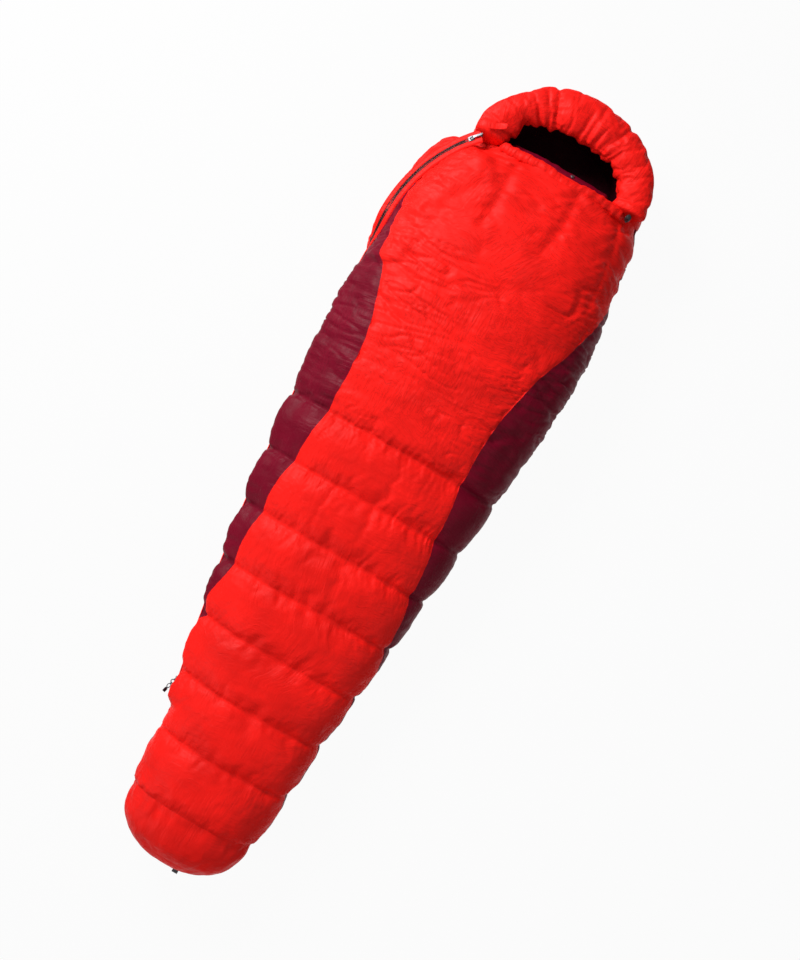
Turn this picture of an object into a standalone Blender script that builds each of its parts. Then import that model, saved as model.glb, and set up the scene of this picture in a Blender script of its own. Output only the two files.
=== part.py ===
"""Mummy sleeping bag lying on its back: shell panels, fill chambers, liner, hood, zip and fittings.

Metres, +Z up. The bag lies along Y with its head at +Y and its zip on the -X side. The origin is on
the ground under the middle of the bag. Cloth that is really a tenth of a millimetre thick is drawn
with the thickness of SKIN, and filling is drawn as plain blocks of its lofted size.
"""
import math

import bmesh
import bpy
from mathutils import Matrix, Vector

# Overall sizes
LENGTH = 2.150           # crown of the hood to the tip of the foot loop
SHOULDER_WIDTH = 0.633   # widest part, across the zip's tape and the far side
LOOP_REACH = 0.0125      # how far the hanging loop stands out of the foot
MID_HEIGHT = 0.100       # height of the widest line of the sides
FLAT_SINK = 0.022        # how far the round underside is pressed flat on the ground

# Cloth, filling and clearances
SKIN = 0.0010
GAP = 0.0005             # between layers that touch
LINER_GAP = 0.0018       # between the fill and the liner, which has fewer corners
ANGLE_GAP = 0.0040       # radians between neighbouring panels and blocks
TOP_WALL = 0.050         # loft over the cavity
SIDE_WALL = 0.046
FLOOR_WALL = 0.032
NECK_WALL = 0.032        # loft over the cavity at the chest band

# Where things lie along the bag
NECK_Y = 0.875
BAND_WIDTH = 0.024       # chest band, along the bag
FIRST_SEAM_Y = 0.105
SEAM_PITCH = 0.145
SEAM_COUNT = 8
FOOT_SEAM_Y = FIRST_SEAM_Y - (SEAM_COUNT - 1) * SEAM_PITCH

# Section of the bag: rounded rectangles |x/w|^n + |z/h|^n = 1
OUTER_POWER = 2.5
CAVITY_POWER = 4.0
END_POWER = 2.2          # plan shape of the foot and of the hood's crown
END_ANGLE = math.radians(78)

# Zip: a long arc along the side, then a tighter one over the shoulder
ZIP_SIDE_RADIUS = 6.5
ZIP_BEND_Y = 0.600
ZIP_SHOULDER_RADIUS = 0.340
ZIP_SHOULDER_TILT = math.radians(20)
ZIP_SHOULDER_ANGLE = math.radians(50)
ZIP_SIDE_Z = MID_HEIGHT
ZIP_SHOULDER_Z = 0.150
ZIP_BLEND = 0.120        # stretch where the tape twists from the side on to the shoulder
ZIP_FOOT_Y = -0.690
SIDE_PANEL_LEFT_END = 0.700
TOOTH_WIDTH = 0.0024
TOOTH_HALF_THICK = 0.0012
TOOTH_SPLIT = 0.0008     # half the space between the two tooth rows
TAPE_WIDTH = 0.0110
TAPE_HALF_THICK = 0.0004
SLIDER_LENGTH = 0.014
SLIDER_HALF_WIDTH = 0.0060
SLIDER_CLEAR = 0.0004
SLIDER_PLATE = 0.0014
UPPER_SLIDER_ANGLE = math.radians(46)
LOWER_SLIDER_Y = -0.650
SHELL_TO_ZIP = 0.0048    # side panels lie this far inside the zip's middle plane

# Hood
HOOD_HALF_WIDTH = 0.217
HOOD_CENTRE_X = 0.039
HOOD_CROWN_X = 0.020
FACE_HALF_WIDTH = 0.155
FACE_CENTRE_X = 0.020
FACE_DEPTH = 0.128
HOOD_WALL_TOP = 0.172
RIM_HALF_HEIGHT = 0.020
HOOD_PANEL_LIFT = 0.002  # lower edge of the hood's side cloth above the ground
HOOD_SPLITS = (math.radians(64), math.radians(116))

# Drawcords and cord lock
CORD_RADIUS = 0.0015
CHANNEL_RADIUS = 0.0022
BAND_HALF_HEIGHT = 0.009
LOCK_RADIUS = 0.0070
LOCK_HEIGHT = 0.020
LOCK_WALL = 0.0011
BUTTON_TRAVEL = 0.0026
BUTTON_PROUD = 0.0045
BUTTON_FOOT = 0.0019     # button below the cord's hole
LOCK_Y = 0.862

# Small cloth fittings
TAB_LENGTH = 0.046
TAB_WIDTH = 0.015
LOOP_WIDTH = 0.015
LOOP_LENGTH = LOOP_REACH - GAP
LOOP_HEIGHT = 0.0105
WEBBING = 0.0016
LOOP_X = 0.048
STUD_RADIUS = 0.005
STUD_X = 0.051
COLLAR_HALF = (0.026, 0.019)
DRAFT_TUBE_RADIUS = 0.014
DRAFT_TUBE_CLEAR = 0.009

TAPE_EDGE = TOOTH_SPLIT + TOOTH_WIDTH + GAP / 2 + TAPE_WIDTH
SIDE_X = SHOULDER_WIDTH / 2
TAPE_REACH = TAPE_EDGE * math.cos(ZIP_SHOULDER_TILT) + TAPE_HALF_THICK * math.sin(ZIP_SHOULDER_TILT)
ZIP_APEX_X = -(SIDE_X - TAPE_REACH)
LEFT_SHOULDER_X = ZIP_APEX_X + SHELL_TO_ZIP
HOOD_LENGTH = (LENGTH / 2 - NECK_Y) / math.sin(END_ANGLE) ** (2 / END_POWER)
FOOT_LENGTH = (LENGTH / 2 - LOOP_REACH + FOOT_SEAM_Y) / math.sin(END_ANGLE) ** (2 / END_POWER)


def zip_side_x(y):
    """Plan position of the zip's long arc."""
    offset = y - ZIP_BEND_Y
    return ZIP_APEX_X + ZIP_SIDE_RADIUS - math.sqrt(ZIP_SIDE_RADIUS ** 2 - offset ** 2)


# Plan outline and height, head to foot: each row is a place along the bag and the size there
LEFT_EDGE = [
    (NECK_Y, -0.192),
    (0.820, -0.256),
    (0.740, -0.282),
    (ZIP_BEND_Y, LEFT_SHOULDER_X),
    (0.300, zip_side_x(0.300) + SHELL_TO_ZIP),
    (0.000, zip_side_x(0.000) + SHELL_TO_ZIP),
    (-0.330, zip_side_x(-0.330) + SHELL_TO_ZIP),
    (-0.620, zip_side_x(-0.620) + SHELL_TO_ZIP),
    (ZIP_FOOT_Y, zip_side_x(ZIP_FOOT_Y) + SHELL_TO_ZIP),
    (-0.765, -0.164),
    (FOOT_SEAM_Y, -0.160),
]
RIGHT_EDGE = [
    (NECK_Y, 0.256),
    (0.820, 0.272),
    (0.700, 0.290),
    (0.460, SIDE_X),
    (0.105, 0.288),
    (-0.330, 0.243),
    (-0.620, 0.212),
    (FOOT_SEAM_Y, 0.190),
]
TOP_HEIGHT = [
    (NECK_Y, 0.212),
    (0.700, 0.232),
    (0.400, 0.238),
    (0.000, 0.214),
    (-0.475, 0.196),
    (FOOT_SEAM_Y, 0.205),
]
LEFT_PANEL_EDGE = [
    (NECK_Y, -0.300),
    (0.670, -0.279),
    (0.512, -0.254),
    (0.433, -0.222),
    (0.294, -0.184),
    (0.100, -0.182),
    (-0.118, -0.202),
    (-0.388, -0.202),
    (-0.620, -0.196),
    (FOOT_SEAM_Y, -0.200),
]
RIGHT_PANEL_EDGE = [
    (NECK_Y, 0.300),
    (0.660, 0.292),
    (0.507, 0.254),
    (0.423, 0.220),
    (0.250, 0.184),
    (0.100, 0.187),
    (-0.197, 0.218),
    (-0.400, 0.236),
    (-0.600, 0.240),
    (FOOT_SEAM_Y, 0.240),
]


def along(table, y):
    """Smooth value of a head-to-foot table at one place, by cubic Hermite steps."""
    rows = sorted(table)
    if y <= rows[0][0]:
        return rows[0][1]
    if y >= rows[-1][0]:
        return rows[-1][1]
    slopes = []
    for index, (place, value) in enumerate(rows):
        before = rows[max(index - 1, 0)]
        after = rows[min(index + 1, len(rows) - 1)]
        slopes.append((after[1] - before[1]) / (after[0] - before[0]))
    for index in range(len(rows) - 1):
        y0, v0 = rows[index]
        y1, v1 = rows[index + 1]
        if y <= y1:
            step = y1 - y0
            t = (y - y0) / step
            rise = v0 * (1 + 2 * t) * (1 - t) ** 2 + v1 * t * t * (3 - 2 * t)
            lean = slopes[index] * t * (1 - t) ** 2 - slopes[index + 1] * t * t * (1 - t)
            return rise + lean * step
    return rows[-1][1]


def signed_power(value, power):
    return math.copysign(abs(value) ** power, value)


def cavity_wall(y):
    """Loft over the cavity: full at the chest, thinner under the chest band."""
    blend = min(max((y - 0.70) / (NECK_Y - 0.70), 0.0), 1.0)
    return TOP_WALL + (NECK_WALL - TOP_WALL) * blend


def section_sizes(y):
    left = along(LEFT_EDGE, y)
    right = along(RIGHT_EDGE, y)
    return (left + right) / 2, (right - left) / 2, along(TOP_HEIGHT, y)


def outer_point(y, angle, depth, shrink=1.0):
    """Point of the bag's outside, or of a layer at a depth below it."""
    centre, half, top = section_sizes(y)
    power = 2 / OUTER_POWER
    half = half - depth
    rise = top - MID_HEIGHT - depth if math.sin(angle) >= 0 else MID_HEIGHT + FLAT_SINK - depth
    x = centre + shrink * half * signed_power(math.cos(angle), power)
    z = MID_HEIGHT + shrink * rise * signed_power(math.sin(angle), power)
    return Vector((x, y, max(z, depth)))


def cavity_point(y, angle, depth, shrink=1.0):
    """Point of the cavity's wall, or of a layer that lies outside it by -depth."""
    centre, half, top = section_sizes(y)
    power = 2 / CAVITY_POWER
    half = half - SIDE_WALL - depth
    ceiling = top - cavity_wall(y) - depth
    floor = FLOOR_WALL + depth
    rise = ceiling - MID_HEIGHT if math.sin(angle) >= 0 else MID_HEIGHT - floor
    x = centre + shrink * half * signed_power(math.cos(angle), power)
    z = MID_HEIGHT + shrink * rise * signed_power(math.sin(angle), power)
    return Vector((x, y, z))


def zip_angle(y):
    """Section angle at which the zip's line lies, seen from the middle of the section."""
    centre, half, top = section_sizes(y)
    place = zip_path(zip_travel(y))[0]
    across = (centre - place.x) / half
    up = max(place.z - MID_HEIGHT, 0) / (top - MID_HEIGHT)
    return math.pi - math.atan((up / across) ** (OUTER_POWER / 2))


def panel_angle(y, table, side):
    """Section angle of a top panel edge, kept clear of the seam or zip below it."""
    centre, half, _ = section_sizes(y)
    share = (along(table, y) - centre) / half * side
    spare = math.radians(4)
    if share >= 1:
        angle = 0.0
    else:
        angle = math.acos(share ** (OUTER_POWER / 2))
    if side > 0:
        return max(angle, spare)
    return min(math.pi - angle, zip_angle(y) - spare)


LOW_SEAM = math.radians(35)


def seam_angles(y):
    """Edges of the panels around one section, from the right lower seam round over the top."""
    return {
        "right_low": -LOW_SEAM,
        "right_side": 0.0,
        "right_top": panel_angle(y, RIGHT_PANEL_EDGE, 1),
        "left_top": panel_angle(y, LEFT_PANEL_EDGE, -1),
        "zip": zip_angle(y),
        "left_low": math.pi + LOW_SEAM,
        "round": 2 * math.pi - LOW_SEAM,
    }


def zip_travel(y):
    """Distance along the zip from its bend to its point at y, negative towards the foot."""
    radius = ZIP_SHOULDER_RADIUS if y > ZIP_BEND_Y else ZIP_SIDE_RADIUS
    share = min((y - ZIP_BEND_Y) / radius, 1.0)
    return radius * math.asin(share)


def zip_path(travel):
    """Place and frame of the zip: travel is negative down the side, positive up over the shoulder.

    Returns the middle point, the direction towards the head, the tape's width direction and the
    outward normal.
    """
    if travel >= 0:
        inward = Vector((math.cos(ZIP_SHOULDER_TILT), 0, math.sin(ZIP_SHOULDER_TILT)))
        angle = travel / ZIP_SHOULDER_RADIUS
        start = Vector((ZIP_APEX_X, ZIP_BEND_Y, ZIP_SHOULDER_Z))
        place = start + inward * ZIP_SHOULDER_RADIUS * (1 - math.cos(angle))
        place.y += ZIP_SHOULDER_RADIUS * math.sin(angle)
        ahead = inward * math.sin(angle) + Vector((0, 1, 0)) * math.cos(angle)
        outward = inward.cross(Vector((0, 1, 0)))
        return place, ahead, outward.cross(ahead).normalized() * -1, outward
    angle = travel / ZIP_SIDE_RADIUS
    blend = min(-travel / ZIP_BLEND, 1.0)
    blend = blend * blend * (3 - 2 * blend)
    height = ZIP_SHOULDER_Z + (ZIP_SIDE_Z - ZIP_SHOULDER_Z) * blend
    x = ZIP_APEX_X + ZIP_SIDE_RADIUS * (1 - math.cos(angle))
    y = ZIP_BEND_Y + ZIP_SIDE_RADIUS * math.sin(angle)
    ahead = Vector((math.sin(angle), math.cos(angle), 0)).normalized()
    lean = (math.pi / 2 - ZIP_SHOULDER_TILT) * (1 - blend)
    radial = Vector((-math.cos(angle), math.sin(angle), 0))
    outward = radial * math.cos(lean) + Vector((0, 0, 1)) * math.sin(lean)
    return Vector((x, y, height)), ahead, ahead.cross(outward), outward


def clear_scene():
    for item in list(bpy.data.objects):
        bpy.data.objects.remove(item, do_unlink=True)


def material(name, colour, roughness, metallic=0.0):
    found = bpy.data.materials.get(name)
    if found:
        return found
    made = bpy.data.materials.new(name)
    made.use_nodes = True
    shader = made.node_tree.nodes["Principled BSDF"]
    shader.inputs["Base Color"].default_value = (*colour, 1.0)
    shader.inputs["Roughness"].default_value = roughness
    shader.inputs["Metallic"].default_value = metallic
    return made


def red_nylon():
    return material("red_nylon", (0.72, 0.018, 0.014), 0.42)


def maroon_nylon():
    return material("maroon_nylon", (0.20, 0.008, 0.028), 0.42)


def dark_nylon():
    return material("dark_nylon", (0.030, 0.006, 0.010), 0.50)


def liner_nylon():
    return material("liner_nylon", (0.018, 0.003, 0.006), 0.55)


def white_fill():
    return material("white_fill", (0.80, 0.79, 0.76), 0.95)


def baffle_mesh():
    return material("baffle_mesh", (0.45, 0.45, 0.47), 0.85)


def zip_metal():
    return material("zip_metal", (0.56, 0.57, 0.58), 0.30, 1.0)


def zip_coil():
    return material("zip_coil", (0.045, 0.010, 0.016), 0.45)


def black_plastic():
    return material("black_plastic", (0.012, 0.012, 0.013), 0.40)


def black_cord():
    return material("black_cord", (0.020, 0.018, 0.020), 0.80)


def spring_steel():
    return material("spring_steel", (0.50, 0.50, 0.50), 0.35, 1.0)


def new_object(name, shape, finish, location=(0, 0, 0), smooth=True):
    """Turns a bmesh into a named object whose faces point outwards."""
    bmesh.ops.recalc_face_normals(shape, faces=shape.faces)
    mesh = bpy.data.meshes.new(name)
    shape.to_mesh(mesh)
    shape.free()
    if smooth:
        mesh.shade_smooth()
        mesh.set_sharp_from_angle(angle=math.radians(40))
    made = bpy.data.objects.new(name, mesh)
    made.location = location
    bpy.context.collection.objects.link(made)
    made.data.materials.append(finish)
    return made


def slab(name, columns, rows, near, far, finish, ring=False, closed_end=None):
    """Solid between two surfaces near(u, v) and far(u, v), with u and v from 0 to 1.

    With ring set, v runs once round. closed_end closes one end of a ring: 0 or 1 is the end's u.
    """
    shape = bmesh.new()
    grid = bmesh.ops.create_grid(shape, x_segments=columns, y_segments=rows, size=0.5)
    places = {}
    for vert in grid["verts"]:
        places[vert.index] = (vert.co.x + 0.5, vert.co.y + 0.5)
    shape.verts.index_update()
    labels = shape.verts.layers.float_vector.new("uv")
    for vert in shape.verts:
        vert[labels] = (vert.co.x + 0.5, vert.co.y + 0.5, 0)
        vert.co = near(*vert[labels][:2])
    if ring:
        bmesh.ops.remove_doubles(shape, verts=shape.verts, dist=1e-6)
    if closed_end is not None:
        edge = [e for e in shape.edges if e.is_boundary and all(abs(v[labels][0] - closed_end) < 1e-4 for v in e.verts)]
        bmesh.ops.contextual_create(shape, geom=edge)
    twin = bmesh.ops.extrude_face_region(shape, geom=list(shape.faces), use_keep_orig=True)
    for vert in [item for item in twin["geom"] if isinstance(item, bmesh.types.BMVert)]:
        vert.co = far(*vert[labels][:2])
    bmesh.ops.triangulate(shape, faces=shape.faces)
    return new_object(name, shape, finish)


def sweep(name, steps, sides, frame, finish, hole=None):
    """Solid bar along frame(u): each frame gives a centre and two half axes; hole is a bore radius."""
    def skin(u, v):
        centre, across, up = frame(u)
        turn = 2 * math.pi * v
        return centre + across * math.cos(turn) + up * math.sin(turn)

    if hole is not None:
        def bore(u, v):
            centre, across, up = frame(u)
            turn = 2 * math.pi * v
            return centre + (across.normalized() * math.cos(turn) + up.normalized() * math.sin(turn)) * hole
        return slab(name, steps, sides, skin, bore, finish, ring=True)
    shape = bmesh.new()
    bmesh.ops.create_grid(shape, x_segments=steps, y_segments=sides, size=0.5)
    for vert in shape.verts:
        vert.co = skin(vert.co.x + 0.5, vert.co.y + 0.5)
    bmesh.ops.remove_doubles(shape, verts=shape.verts, dist=1e-6)
    bmesh.ops.holes_fill(shape, edges=[e for e in shape.edges if e.is_boundary], sides=sides)
    return new_object(name, shape, finish)


def blocks(name, pieces, finish, matrix=None):
    """One object from boxes that share faces with nothing else; each is (centre, size)."""
    shape = bmesh.new()
    for centre, size in pieces:
        place = Matrix.Translation(centre) @ Matrix.Diagonal((*size, 1))
        bmesh.ops.create_cube(shape, size=1.0, matrix=place)
    if matrix:
        bmesh.ops.transform(shape, matrix=matrix, verts=shape.verts)
    return new_object(name, shape, finish, smooth=False)


def extrude_outline(shape, outline, height):
    """Adds a prism: the outline's points are 3-D and height is the vector it is swept by."""
    verts = [shape.verts.new(point) for point in outline]
    face = shape.faces.new(verts)
    twin = bmesh.ops.extrude_face_region(shape, geom=[face], use_keep_orig=True)
    moved = [item for item in twin["geom"] if isinstance(item, bmesh.types.BMVert)]
    bmesh.ops.translate(shape, verts=moved, vec=height)


def combine(target, other, operation):
    """Boolean of two objects, with the other kept only as a hidden guide."""
    change = target.modifiers.new(operation.title(), "BOOLEAN")
    change.operation = operation
    change.solver = "EXACT"
    change.object = other
    other.hide_render = True
    other.display_type = "WIRE"


# ---- Body panels, fill and liner ---------------------------------------------------------------

def body_stations():
    """Places along the bag where its sections are drawn, foot seam to chest band."""
    seams = [FIRST_SEAM_Y - SEAM_PITCH * index for index in range(SEAM_COUNT - 1, -1, -1)]
    chest = [0.22, 0.34, 0.46, 0.53, ZIP_BEND_Y, 0.68, 0.75, 0.80, NECK_Y - BAND_WIDTH, NECK_Y]
    return sorted(seams + [ZIP_FOOT_Y] + chest)


def top_stations():
    """The top panel and its filling leave room for the chest band."""
    return body_stations()[:-1]


RING_PARTS = [
    ("right_low", "right_side", 2),
    ("right_side", "right_top", 2),
    ("right_top", "left_top", 10),
    ("left_top", "zip", 4),
    ("zip", "left_low", 4),
    ("left_low", "round", 6),
]
LINER_PARTS = [(low, high, count // 2) for low, high, count in RING_PARTS]
RING_SIDES = sum(count for _, _, count in RING_PARTS)


def at_share(values, share):
    """Entry of a list at a share from 0 to 1 of the way along it."""
    return values[round(share * (len(values) - 1))]


def ring_angles(y, parts):
    """Section angles of a full turn, with a corner on every panel seam."""
    edges = seam_angles(y)
    angles = [edges["right_low"]]
    for low, high, count in parts:
        angles += [edges[low] + (edges[high] - edges[low]) * (i + 1) / count for i in range(count)]
    return angles


def zone_angles(y, low, high):
    """The ring's angles between two seams, drawn in at both ends to leave a gap."""
    names = [part[0] for part in RING_PARTS]
    first = sum(count for start, _, count in RING_PARTS[:names.index(low)])
    ends = [part[1] for part in RING_PARTS]
    last = sum(count for _, _, count in RING_PARTS[:ends.index(high) + 1])
    angles = ring_angles(y, RING_PARTS)[first:last + 1]
    angles[0] += ANGLE_GAP / 2
    angles[-1] -= ANGLE_GAP / 2
    return angles


def zone_panel(name, finish, low, high, near, far, stations):
    """Panel or block between two seam angles, drawn through the stations."""
    columns = len(stations) - 1
    rows = len(zone_angles(stations[0], low, high)) - 1

    def point(layer, u, v):
        y = at_share(stations, u)
        return layer(y, at_share(zone_angles(y, low, high), v))

    return slab(
        name,
        columns,
        rows,
        lambda u, v: point(near, u, v),
        lambda u, v: point(far, u, v),
        finish,
    )


ZONES = {
    "side_panel_right": ("right_low", "right_top", maroon_nylon),
    "top_shell": ("right_top", "left_top", red_nylon),
    "side_panel_left": ("left_top", "zip", maroon_nylon),
    "zip_side_panel": ("zip", "left_low", dark_nylon),
    "bottom_shell": ("left_low", "round", dark_nylon),
}


def shell_panels():
    """The five outer panels. The left side panel ends where the zip climbs on to the shoulder."""
    made = {}
    for name, (low, high, finish) in ZONES.items():
        stations = top_stations() if name == "top_shell" else body_stations()
        if name == "side_panel_left":
            stations = [y for y in stations if y < SIDE_PANEL_LEFT_END]
        made[name] = zone_panel(
            name,
            finish(),
            low,
            high,
            lambda y, angle: outer_point(y, angle, 0),
            lambda y, angle: outer_point(y, angle, SKIN),
            stations,
        )
    return made


def fill_layers():
    outside = lambda y, angle: outer_point(y, angle, SKIN + GAP)
    inside = lambda y, angle: cavity_point(y, angle, -(SKIN + LINER_GAP))
    return outside, inside


def fill_block(name, low, high, stations):
    outside, inside = fill_layers()
    return zone_panel(name, white_fill(), low, high, outside, inside, stations)


def chamber_ends():
    """Pairs of places, foot to chest, that each top chamber fills between two baffle walls."""
    seams = [FIRST_SEAM_Y - SEAM_PITCH * index for index in range(SEAM_COUNT)]
    edge = SKIN / 2 + GAP
    return [(seams[i + 1] + edge, seams[i] - edge) for i in range(SEAM_COUNT - 1)], seams[0] + edge


def body_fill():
    stations = body_stations()
    pairs, chest_start = chamber_ends()
    made = {}
    for index, (low_y, high_y) in enumerate(pairs, start=1):
        name = f"leg_fill_{index}"
        inner = [y for y in stations if low_y + SKIN < y < high_y - SKIN]
        made[name] = fill_block(name, "right_top", "left_top", [low_y, *inner, high_y])
    chest = [chest_start] + [y for y in top_stations() if y > FIRST_SEAM_Y + SKIN]
    made["chest_fill"] = fill_block("chest_fill", "right_top", "left_top", chest)
    full = [FOOT_SEAM_Y + SKIN / 2 + GAP] + stations[1:]
    made["side_fill_right"] = fill_block("side_fill_right", "right_low", "right_top", full)
    made["side_fill_left"] = fill_block("side_fill_left", "left_top", "left_low", full)
    made["bottom_fill"] = fill_block("bottom_fill", "left_low", "round", full)
    return made


def baffles():
    for index in range(SEAM_COUNT):
        seam = FIRST_SEAM_Y - SEAM_PITCH * index
        stations = [seam - SKIN / 2, seam + SKIN / 2]
        outside, inside = fill_layers()
        zone_panel(f"baffle_{index + 1}", baffle_mesh(), "right_top", "left_top", outside, inside, stations)


CAP_TURNS = [0.0, 0.45, 0.80, 1.08, END_ANGLE]


def foot_point(turn, v, layer, base_depth, parts=RING_PARTS):
    """Point of the foot's round end: turn 0 is on the foot seam."""
    angle = at_share(ring_angles(FOOT_SEAM_Y, parts), v)
    shrink = math.cos(turn) ** (2 / END_POWER)
    point = layer(FOOT_SEAM_Y, angle, base_depth, shrink)
    return point, math.sin(turn) ** (2 / END_POWER)


def foot_shell():
    def skin(depth):
        def point(u, v):
            turn = at_share(CAP_TURNS, u)
            place, share = foot_point(turn, v, outer_point, depth)
            place.y = FOOT_SEAM_Y - GAP - (FOOT_LENGTH - depth - GAP) * share
            place.z = max(place.z, HOOD_PANEL_LIFT + depth)
            return place
        return point

    return slab("foot_shell", len(CAP_TURNS) - 1, RING_SIDES, skin(0), skin(SKIN), red_nylon(), True, 1.0)


CAVITY_TAIL = 0.070      # how far the cavity reaches past the foot seam


def foot_fill():
    def outside(u, v):
        turn = at_share(CAP_TURNS, u)
        place, share = foot_point(turn, v, outer_point, SKIN + GAP)
        place.y = FOOT_SEAM_Y - SKIN / 2 - GAP - (FOOT_LENGTH - 2 * SKIN - 2 * GAP) * share
        place.z = max(place.z, HOOD_PANEL_LIFT + SKIN + GAP)
        return place

    def inside(u, v):
        turn = at_share(CAP_TURNS, u)
        place, share = foot_point(turn, v, cavity_point, -(SKIN + LINER_GAP))
        place.y = FOOT_SEAM_Y - SKIN / 2 - GAP - (CAVITY_TAIL + SKIN + LINER_GAP) * share
        return place

    return slab("foot_fill", len(CAP_TURNS) - 1, RING_SIDES, outside, inside, white_fill(), True, 1.0)


def liner():
    """Cloth tube round the whole cavity, closed at the foot."""
    stations = body_stations()
    rows = list(reversed(stations)) + CAP_TURNS[1:]

    def skin(depth):
        def point(u, v):
            index = round(u * (len(rows) - 1))
            if index < len(stations):
                angle = at_share(ring_angles(rows[index], LINER_PARTS), v)
                return cavity_point(rows[index], angle, depth)
            place, share = foot_point(rows[index], v, cavity_point, depth, LINER_PARTS)
            place.y = FOOT_SEAM_Y - SKIN / 2 - GAP - (CAVITY_TAIL - depth - SKIN) * share
            return place
        return point

    return slab("liner", len(rows) - 1, RING_SIDES // 2, skin(-SKIN), skin(0), liner_nylon(), True, 1.0)


# ---- Hood --------------------------------------------------------------------------------------

def arch(turn, centre, half, depth, crown_shift=0.0):
    """Plan point of a hood arch: turn 0 is at the right end and pi at the left end."""
    power = 2 / END_POWER
    rise = abs(math.sin(turn)) ** power
    x = centre + crown_shift * rise + half * signed_power(math.cos(turn), power)
    return Vector((x, NECK_Y + GAP + depth * rise, 0))


def hood_edges(turn):
    """Plan points of the hood's outline and of the face opening's edge on one radial line."""
    outer = arch(turn, HOOD_CENTRE_X, HOOD_HALF_WIDTH, LENGTH / 2 - NECK_Y - GAP, HOOD_CROWN_X - HOOD_CENTRE_X)
    inner = arch(turn, FACE_CENTRE_X, FACE_HALF_WIDTH, FACE_DEPTH)
    return outer, inner


def hood_wall_point(turn, share, depth):
    """Outside of the hood wall: share 0 is its lower edge and 1 its upper edge."""
    outer, inner = hood_edges(turn)
    width = (outer - inner).length
    along_width = (outer - inner).normalized()
    low = math.radians(-52)
    high = math.radians(62)
    tilt = low + (high - low) * share
    bulge = width * 0.55 - depth
    z_half = HOOD_WALL_TOP - MID_HEIGHT if tilt >= 0 else MID_HEIGHT
    reach = width * 0.45 + bulge * math.cos(tilt) ** 0.8
    end = high if tilt >= 0 else low
    z = MID_HEIGHT + (z_half - depth) * signed_power(math.sin(tilt) / abs(math.sin(end)), 0.9)
    place = inner + along_width * reach
    place.z = max(z, HOOD_PANEL_LIFT + depth)
    return place


def hood_inner_point(turn, share, depth):
    """Inside of the hood wall, facing the head; depth moves it outwards."""
    outer, inner = hood_edges(turn)
    along_width = (outer - inner).normalized()
    base = FLOOR_WALL + SKIN + GAP
    place = inner + along_width * (0.002 + depth)
    place.z = base + (HOOD_WALL_TOP - depth - base) * share
    return place


HOOD_PANELS = ("hood_shell_right", "hood_shell_crown", "hood_shell_left")
HOOD_FILLS = ("hood_fill_right", "hood_fill_crown", "hood_fill_left")


def hood_spans():
    """Start and end of each hood panel's own list of arch angles, drawn in at the two splits."""
    turns = hood_turns()
    spans = []
    for index in range(3):
        span = turns[index * HOOD_STEPS:(index + 1) * HOOD_STEPS + 1]
        span[0] += ANGLE_GAP / 2 if index else 0
        span[-1] -= ANGLE_GAP / 2 if index < 2 else 0
        spans.append(span)
    return spans


def hood_turns():
    """Arch angles of the hood's corners, the same for every layer: six steps to a panel."""
    edges = (0.0, *HOOD_SPLITS, math.pi)
    turns = [0.0]
    for start, end in zip(edges, edges[1:]):
        turns += [start + (end - start) * (i + 1) / HOOD_STEPS for i in range(HOOD_STEPS)]
    return turns


HOOD_STEPS = 6


def hood_walls():
    """Three outer cloth panels and the three fill blocks behind them."""
    for name, fill_name, span in zip(HOOD_PANELS, HOOD_FILLS, hood_spans()):
        slab(
            name,
            HOOD_STEPS,
            7,
            lambda u, v: hood_wall_point(at_share(span, u), v, 0),
            lambda u, v: hood_wall_point(at_share(span, u), v, SKIN),
            red_nylon(),
        )
        slab(
            fill_name,
            HOOD_STEPS,
            7,
            lambda u, v: hood_wall_point(at_share(span, u), v, SKIN + GAP),
            lambda u, v: hood_inner_point(at_share(span, u), v, SKIN + GAP),
            white_fill(),
        )


def hood_liner():
    """Dark cloth on the inside of the hood wall and over the floor under the head."""
    turns = hood_turns()
    wall = slab(
        "hood_liner",
        len(turns) - 1,
        2,
        lambda u, v: hood_inner_point(at_share(turns, u), v, 0),
        lambda u, v: hood_inner_point(at_share(turns, u), v, SKIN),
        liner_nylon(),
    )
    floor = floor_slab("hood_liner_floor", 0.0025, FLOOR_WALL, FLOOR_WALL + SKIN + 2 * GAP, liner_nylon())
    combine(wall, floor, "UNION")


def floor_slab(name, margin, low, high, finish):
    """Flat piece under the head: its outline keeps a margin outside the face opening's edge."""
    shape = bmesh.new()
    outline = []
    for index in range(17):
        turn = math.pi * index / 16
        outer, inner = hood_edges(turn)
        point = inner + (outer - inner).normalized() * margin
        outline.append(Vector((point.x, max(point.y, NECK_Y + GAP), low)))
    extrude_outline(shape, outline, Vector((0, 0, high - low)))
    return new_object(name, shape, finish, smooth=False)


def hood_floor():
    floor_slab("hood_floor_shell", 0.010, 0.0, SKIN, dark_nylon())
    floor_slab("hood_floor_fill", -0.001, SKIN + GAP, FLOOR_WALL - GAP, white_fill())


def rim_frame(turn):
    """Centre and half axes of the gathered rim's oval at one place of the arch."""
    outer, inner = hood_edges(turn)
    across = (outer - inner) * 0.47
    centre = (outer + inner) / 2
    centre.z = HOOD_WALL_TOP + GAP + RIM_HALF_HEIGHT
    return centre, across, Vector((0, 0, RIM_HALF_HEIGHT))


def hood_rim():
    """Gathered edge of the hood with the drawcord's channel through its middle."""
    start = math.radians(1)
    frame = lambda u: rim_frame(start + (math.pi - 2 * start) * u)
    sweep("hood_rim", 20, 12, frame, red_nylon(), hole=CHANNEL_RADIUS)


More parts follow.
